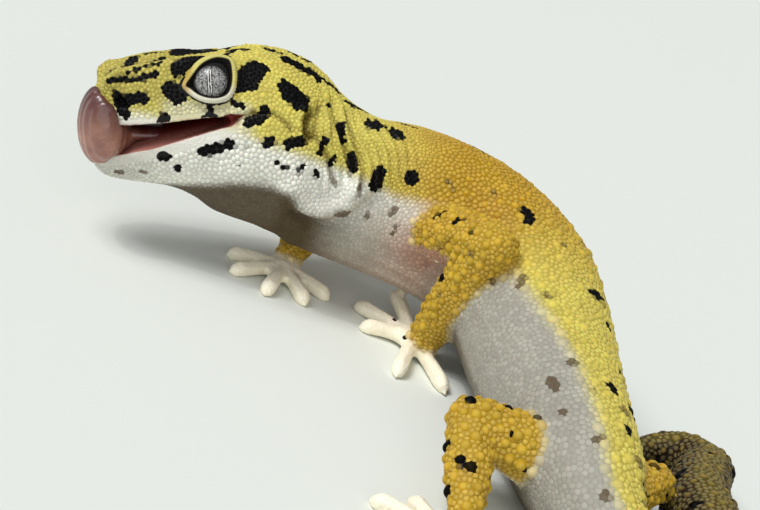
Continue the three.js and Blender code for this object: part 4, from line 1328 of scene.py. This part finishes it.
# %% Outlines that meet half-way
def outlines(places, roots, sides, widest):
    """Each scale's reach by direction: half-way to its neighbours, and no more than widest."""
    tree = tree_of(places)
    around = np.array([[i for _, i, _ in tree.find_n(p, 9)][1:] for p in places])
    facing, first, second = across_skin(roots)
    off = places[around] - places[:, None]
    across = np.stack([(off * first[:, None]).sum(2), (off * second[:, None]).sum(2)], axis=2)
    distance = np.linalg.norm(across, axis=2)
    towards = np.einsum("nkc,sc->nsk", across / distance[:, :, None], ways_round(sides))
    edge = distance[:, None] / 2 / np.maximum(towards, 0.05)
    return np.minimum(edge.min(axis=2), widest[:, None])


# %% The scales' sides, rings and heights
# a ring is its share of the scale's radius and of its height; below 0 is under the skin
BEAD_SIDES, PIMPLE_SIDES = 7, 8
BEAD_RINGS = [(1.0, -0.5), (0.86, 0.45), (0.5, 0.9)]
PIMPLE_RINGS = [(1.3, -0.35), (1.02, 0.12), (0.7, 0.62), (0.36, 0.93)]
bead_reach = outlines(bead_place, bead_root, BEAD_SIDES, spacing[bead_root] * 0.62)
bead_height = bead_reach.mean(axis=1) * np.where(is_head[bead_root], 0.38, 0.32)
smooth_face = is_head & (white < 0.5) & (x > 3)
bead_height *= np.where(smooth_face[bead_root], 0.62, 1.0)
flat_flank = np.where(is_trunk[bead_root], 1 - 0.4 * white[bead_root], 1)
bead_height *= (1 - 0.65 * dusk[bead_root]) * flat_flank
print("scales", bead_reach.mean().round(2), "mm in radius and", bead_height.mean().round(2), "high")

# %% [markdown]
# ## Material of the scales
#
# Each scale is a shade lighter or darker than the next and paler at its tip, with painted shade at
# its foot, where it meets the skin, and the black ones are a little more matt. This could be left
# to a noise over the body, but a noise does not know where one scale ends. So each scale carries a
# random shade of its own and the height of each of its corners, and the material reads both beside
# the colour recipe.

# %% Material of the scales
def scale_material(name, tip_colour, tip_amount, roughness):
    """Scales: paler at the tip, painted shade at the foot, each of its own shade, more matt where
    black.
    """
    material, tree, shader = start_material(name, Specular_IOR_Level=0.08, **SOFT_FLESH)
    recipe, colour = coloured(tree, 0.0, 1.5, 0.18)
    own = carried(tree, "own_shade")
    rise = carried(tree, "rise")
    pale = calc(tree, "MULTIPLY", calc(tree, "SUBTRACT", 1.0, recipe.outputs["Spot"]),
                ramped(tree, rise, 0.1, 1.0, 0.0, tip_amount))
    for number in ("dusk", "white"):
        pale = calc(tree, "MULTIPLY", pale, calc(tree, "SUBTRACT", 1.0, carried(tree, number)))
    colour = lay_over(tree, colour, tip_colour, pale)
    # painted shade: each scale darkens towards its foot, where it meets the skin
    value = calc(tree, "MULTIPLY", ramped(tree, rise, 0.0, 0.5, 0.88, 1.0),
                 ramped(tree, own, 0.0, 1.0, 0.9, 1.12))
    tree.links.new(toned(tree, colour, value), shader.inputs["Base Color"])
    tree.links.new(ramped(tree, recipe.outputs["Spot"], 0, 1, roughness, 0.55),
                   shader.inputs["Roughness"])
    bumped(tree, shader, noise_in_mm(tree, 5.0), 0.02)
    return material


bead_paint = scale_material("small scales", srgb(228, 214, 150), 0.18, 0.42)
pimple_paint = scale_material("pimples", srgb(232, 205, 110), 0.22, 0.4)
print("materials:", bead_paint.name, "and", pimple_paint.name)

# %% [markdown]
# ## Planting
#
# All the scales could be one object, but a big mesh is slow to open and to bake. They are
# planted area by area, so that no piece is very large, the small scales and the pimples of an
# area apart. The areas meet at set places along the spine.

# %% Plant them, piece by piece
AREAS = {
    "head": is_head, "neck": is_trunk & (along < 26),
    "trunk_front": is_trunk & (along >= 26) & (along < 62), "trunk_rear": is_trunk & (along >= 62),
    "tail": is_tail, "legs": is_limb | is_end,
}
for area, here in AREAS.items():
    own = here[bead_root]
    piece = planted("scales_" + area, bead_place[own], bead_root[own], bead_reach[own],
                    bead_height[own], BEAD_RINGS, bead_paint)
    total += fitted(piece)
    own = pimples[here[pimples]]
    if len(own):
        wide = width_of_pimple[here[pimples]]
        reach = wide[:, None] * chance.uniform(0.88, 1.1, (len(own), PIMPLE_SIDES))
        tall = wide * np.where(is_limb[own], 0.62, 0.48)
        piece = planted("pimples_" + area, skin[own], own, reach, tall, PIMPLE_RINGS, pimple_paint)
        total += fitted(piece)
print("triangles so far:", total)

# %% [markdown]
# ## Eyes
#
# The eye of a gecko is a silver iris with fine dark worm-like lines and a slit that closes to a
# thread in daylight, under a clear bulging cornea. A glass eye is made in two layers, but one
# ball with a clear coat looks the same from outside and is simpler. It is drawn on axes of its
# own, across, up and out along the gaze, and each corner carries its place across and up in
# millimetres, so the iris can be drawn by measure.

# %% Grids of corners round the gaze
BALL_RINGS, BALL_SIDES = 44, 96


def from_gaze(points, side):
    return on_head((EYE_SET[side] + np.asarray(points) @ GAZE_AXES) * (1, side, 1))


def grid_faces(rows, columns, side, closed_rows=False):
    """Squares between rows of corners, each row a closed loop; side -1 turns them over."""
    faces = []
    for r in range(rows if closed_rows else rows - 1):
        for c in range(columns):
            a, b = r * columns + c, r * columns + (c + 1) % columns
            up = columns if r < rows - 1 else -(rows - 1) * columns
            faces.append([a, b, b + up, a + up][::side])
    return np.array(faces)


print(BALL_RINGS * BALL_SIDES, "corners to an eyeball")

# %% [markdown]
# ## Drawing on the iris
#
# An iris could be a painted picture; this one is drawn from three simple patterns instead.
# A noise folded back and forth gives the worm-like lines, a web of cells breaks them up, and the
# distance from the slit, made ragged by the same noise, gives the thread of the pupil with its
# two pale edges. A dark ring closes it, and outside it the eyeball is nearly black, which is also
# painted shade where the lids overhang the ball.

# %% Material of the eye: the silver of the iris
material, tree, shader = start_material("gecko eye", Roughness=0.55, Specular_IOR_Level=0.1,
                                        Coat_Weight=0.6, Coat_Roughness=0.02)
across = calc(tree, "ADD", carried(tree, "across"), 0.1)
upward = calc(tree, "SUBTRACT", carried(tree, "upward"), 0.1)
from_middle = calc(tree, "SQRT", calc(tree, "ADD", calc(tree, "MULTIPLY", across, across),
                                      calc(tree, "MULTIPLY", upward, upward)))
place_on_iris = add_node(tree, "ShaderNodeCombineXYZ", {"X": across, "Y": upward}).outputs[0]
worms = add_node(tree, "ShaderNodeTexNoise", {"Vector": place_on_iris, "Scale": 1.9,
                                              "Detail": 2.5, "Roughness": 0.6, "Distortion": 0.7})
stripes = calc(tree, "PINGPONG", calc(tree, "MULTIPLY", worms.outputs["Fac"], 6.0), 0.5)
vein = ramped(tree, stripes, 0.08, 0.34)
cells = add_node(tree, "ShaderNodeTexVoronoi", {"Vector": place_on_iris, "Scale": 4.2},
                 feature="DISTANCE_TO_EDGE")
vein = calc(tree, "MULTIPLY", vein,
            ramped(tree, cells.outputs["Distance"], 0.0, 0.12, 0.45, 1.0))
iris = lay_over(tree, srgb(14, 13, 15), srgb(182, 182, 178), vein)

print("worm-like lines in", len(tree.nodes), "nodes")

# %% Material of the eye: the slit and the dark ring
SLIT_HALF_LENGTH = 1.45        # mm from the middle of the iris to where the slit starts to close
IRIS_EDGE = 1.93               # mm from the middle of the iris to the dark ring
slit_at = calc(tree, "ADD", calc(tree, "MULTIPLY", upward, 0.11), 0.16)
ragged = calc(tree, "MULTIPLY", calc(tree, "SUBTRACT", worms.outputs["Fac"], 0.5), 0.3)
from_slit = calc(tree, "ABSOLUTE", calc(tree, "SUBTRACT", across, slit_at))
slit_end = ramped(tree, calc(tree, "ABSOLUTE", upward), SLIT_HALF_LENGTH,
                  SLIT_HALF_LENGTH + 0.25)
from_slit = calc(tree, "ADD", calc(tree, "ADD", from_slit, ragged), slit_end)
for edge, fade, tone in ((0.29, 0.06, (16, 14, 14)),       # a dark line beside the pale edge
                         (0.18, 0.05, (215, 213, 208)),    # the pale edge of the slit
                         (0.06, 0.05, (8, 6, 6))):         # the slit itself
    iris = lay_over(tree, srgb(*tone), iris, ramped(tree, from_slit, edge, edge + fade))
rim_shade = ramped(tree, calc(tree, "ADD", from_middle, ragged), 1.5, 2.02, 1.0, 0.4)
ring = ramped(tree, from_middle, IRIS_EDGE, IRIS_EDGE + 0.13)
# a dark ring round the iris, and nearly black beyond it, which also paints the shade under the lids
iris = lay_over(tree, iris, srgb(6, 5, 5), ring)
tree.links.new(toned(tree, iris, rim_shade), shader.inputs["Base Color"])
eye_paint = material
print("material:", eye_paint.name, "with", len(tree.nodes), "nodes")


# %% Eyeballs
BALL_TURN = 140                # the ball is open behind this angle from the gaze, in degrees
CORNEA_SPREAD = 0.55           # how far the bulge of the cornea reaches, in radians


def eyeball(name, side):
    turn = np.linspace(0, 2 * math.pi, BALL_SIDES, endpoint=False)
    tilt = np.linspace(0.004, math.radians(BALL_TURN), BALL_RINGS)[:, None]
    radius = EYE_RADIUS + CORNEA * np.exp(-(tilt / CORNEA_SPREAD) ** 2)
    points = np.stack([radius * np.sin(tilt) * np.cos(turn), radius * np.sin(tilt) * np.sin(turn),
                       radius * np.cos(tilt) + 0 * turn], axis=2).reshape(-1, 3)
    return mesh_object(name, from_gaze(points, side), grid_faces(BALL_RINGS, BALL_SIDES, -side),
                       [eye_paint], {"across": points[:, 0], "upward": points[:, 1]})


for name, side in (("eye_left", 1), ("eye_right", -1)):
    total += fitted(eyeball("gecko_" + name, side), [name])

# %% [markdown]
# ## Lids
#
# Unlike most geckos this one has real lids: a thick pale rim like a piped edge, drawn to a
# point in front, finely grooved across, and toothed with tiny scales behind. A curve with a
# bevel would give a plain round pipe, so a profile is carried round the closed line in code,
# like piping round a cake: the rim, the crease outside it, and a skirt that goes under the skin.

# %% The line and the profile of the rims
LID_BALL = 3.75                # the rim's middle line lies on a ball of this radius
LOW_LID = 0.78                 # the right lid is a little more closed
carved_tree = BVHTree.FromPolygons(skin.tolist(), squares.tolist())
LID_PROFILE = [                # outwards from the middle line, and above the ball
    (-0.44, -1.9), (-0.42, -0.7), (-0.40, -0.05), (-0.34, 0.16), (-0.14, 0.30), (0.14, 0.30),
    (0.34, 0.16), (0.44, -0.05), (0.50, -0.28), (0.66, -0.40), (0.90, -0.75), (1.00, -1.30),
    (0.5, -1.9),
]
FROM_AFAR = 6.0                # mm out along the gaze, from where the skin is looked for
MOST_RAISED = 1.4              # the rim is not raised further than this to meet the skin


def lid_path(side):
    """The middle line of one rim on the gaze's axes, raised where the skin stands higher."""
    line = smooth_line([(u, v * (LOW_LID if side < 0 and v > 0 else 1),
                         math.sqrt(max(LID_BALL ** 2 - u * u - v * v, 1.2 ** 2)))
                        for u, v in LID_LINE], closed=True)
    gaze = from_gaze([[0, 0, 1]], side)[0] - from_gaze([[0, 0, 0]], side)[0]
    for i, start in enumerate(from_gaze(line + [0, 0, FROM_AFAR], side)):
        hit = carved_tree.ray_cast(Vector(start), Vector(-gaze), 7.0)[3]
        if hit is not None:
            line[i, 2] += min(max(0, FROM_AFAR - hit), MOST_RAISED)
    for _ in range(10):
        line[:, 2] = (np.roll(line[:, 2], 1) + np.roll(line[:, 2], -1)) / 2
    return line


print(len(LID_PROFILE), "corners in the profile of a rim")


# %% The profile carried round the line
TOOTH, TOOTH_HEIGHT = 0.42, 0.14   # the toothed edge behind: from tooth to tooth, and how high


def lid(name, side):
    line = lid_path(side)
    outward = line / np.linalg.norm(line, axis=1)[:, None]
    ahead = np.roll(line, -1, axis=0) - np.roll(line, 1, axis=0)
    ahead /= np.linalg.norm(ahead, axis=1)[:, None]
    away = np.cross(ahead, outward)
    away *= np.sign((away * (line - line.mean(axis=0))).sum(axis=1).mean())
    length = np.concatenate([[0], np.cumsum(np.linalg.norm(np.diff(line, axis=0), axis=1))])
    behind = blend_step(-1.2, -2.2, line[:, 0])
    tooth = TOOTH_HEIGHT * behind * abs(np.sin(length * math.pi / TOOTH))
    thick = 1 + 0.25 * blend_step(0.3, 2.2, line[:, 1]) + 0.35 * blend_step(1.6, 3.2, line[:, 0])
    rows = []
    for out, up in LID_PROFILE:
        grow = tooth if 0.3 < out < 0.5 else 0 * tooth
        rows.append(line + away * (out * thick + grow)[:, None]
                    + outward * (up + 0.4 * grow)[:, None])
    points = np.stack(rows, axis=1).reshape(-1, 3)
    sides = len(LID_PROFILE)
    faces = grid_faces(len(line), sides, side, closed_rows=True)
    return mesh_object(name, from_gaze(points, side), faces, [lid_paint],
                       {"upward": points[:, 1], "across": points[:, 0],
                        "lengthwise": np.repeat(length, sides),
                        "outwards": np.tile([p[0] for p in LID_PROFILE], len(line))})


# %% Material of the rims
PALE_RIM, YELLOW_RIM, OCHRE_POINT = srgb(226, 222, 200), srgb(214, 203, 118), srgb(196, 150, 48)
LID_WALL_SHADE, LID_CREASE_SHADE = srgb(8, 5, 4), srgb(58, 42, 16)
material, tree, shader = start_material("lid rims", Roughness=0.5, Specular_IOR_Level=0.2)
colour = lay_over(tree, PALE_RIM, YELLOW_RIM, ramped(tree, carried(tree, "upward"), -1.4, 0.6))
front = ramped(tree, carried(tree, "across"), 1.9, 3.1, 0.0, 0.7)
colour = lay_over(tree, colour, OCHRE_POINT, front)
outwards = carried(tree, "outwards")
# painted shade: the inner wall of the rim, against the eyeball, is nearly black
colour = lay_over(tree, colour, LID_WALL_SHADE, ramped(tree, outwards, -0.33, -0.39))
# painted shade: a dark band in the crease outside the rim
crease_shade_band = calc(tree, "MULTIPLY", ramped(tree, outwards, 0.42, 0.52),
                 ramped(tree, outwards, 1.1, 0.8))
colour = lay_over(tree, colour, LID_CREASE_SHADE, calc(tree, "MULTIPLY", crease_shade_band, 0.85))
tree.links.new(flecked(tree, colour, 2.5, 0.2), shader.inputs["Base Color"])
across_lines = calc(tree, "SINE", calc(tree, "MULTIPLY", carried(tree, "lengthwise"), 24.0))
bumped(tree, shader, calc(tree, "ADD", across_lines, noise_in_mm(tree, 4.0)), 0.03)
lid_paint = material
print("material:", lid_paint.name)

# %% The two rims
for name, side in (("lid_left", 1), ("lid_right", -1)):
    total += fitted(lid(name, side))

# %% [markdown]
# ## Tongue
#
# The tongue is thick and fleshy and is pressed up against the snout. It could be sculpted from
# a ball, but it is remeshed and ironed from its solid in the same way as the skin. Ironing
# makes it thinner, so it is swollen again afterwards. It is wet, so it gets a clear coat over a
# soft pink, darker on top and towards the throat, with small bumps that break up the shine.

# %% Shape of the tongue
TONGUE_SWELL = 0.12            # before the remesh
TONGUE_GROWTH = 0.30           # after the ironing
RIPPLE = 0.07                  # small ridges along the part that lies over the snout
tongue_points, tongue_faces, _ = joined(["tongue"], TONGUE_SWELL)
tongue, tongue_squares = remeshed(tongue_points, tongue_faces, VOXEL)
tongue_edges = edges_of(tongue_squares)
tongue_degree = np.bincount(tongue_edges.ravel(), minlength=len(tongue)).astype(float)
tongue = ironed(tongue, np.full(len(tongue), 26 * fineness), tongue_edges, tongue_degree)
tongue += normals_of(tongue, tongue_squares) * TONGUE_GROWTH
tx, ty, tz = to_head(tongue).T
ripple = RIPPLE * np.sin(5.0 * ty + 0.8 * np.sin(0.9 * tz)) * blend_step(21, 24, tx)
tongue += normals_of(tongue, tongue_squares) * ripple[:, None]

print(len(tongue), "tongue corners")

# %% Material of the tongue
TONGUE_LOW, TONGUE_TOP = srgb(172, 120, 98), srgb(74, 32, 28)
TONGUE_ROOT, TONGUE_BLOTCH = srgb(84, 28, 22), srgb(110, 62, 62)
material, tree, shader = start_material(
    "wet tongue", Roughness=0.38, Coat_Weight=0.6, Coat_Roughness=0.1,
    Subsurface_Weight=0.15, Subsurface_Scale=1.0 * MM)
colour = lay_over(tree, TONGUE_LOW, TONGUE_TOP, ramped(tree, carried(tree, "height"), -3.4, 3.2))
colour = lay_over(tree, TONGUE_ROOT, colour,
                  ramped(tree, carried(tree, "forward"), 19.5, 23.5))
blotch = ramped(tree, noise_in_mm(tree, 0.55), 0.35, 0.7, 0.0, 0.55)
colour = lay_over(tree, colour, TONGUE_BLOTCH, blotch)
tree.links.new(flecked(tree, colour, 3.0, 0.3), shader.inputs["Base Color"])
bumped(tree, shader, calc(tree, "ADD", noise_in_mm(tree, 1.8), noise_in_mm(tree, 0.7)), 0.10)
tongue_piece = mesh_object("gecko_tongue", tongue, tongue_squares, [material],
                           {"height": tz, "forward": tx})
total += fitted(tongue_piece, ["tongue"])

# %% [markdown]
# ## Triangles in all
#
# Last the number of triangles in all the pieces made here is printed. The scales stand out about
# as far as the skin was drawn in, so the dressed animal should keep the size of the solid model.

# %% Triangles in all
print("triangles in all:", total)
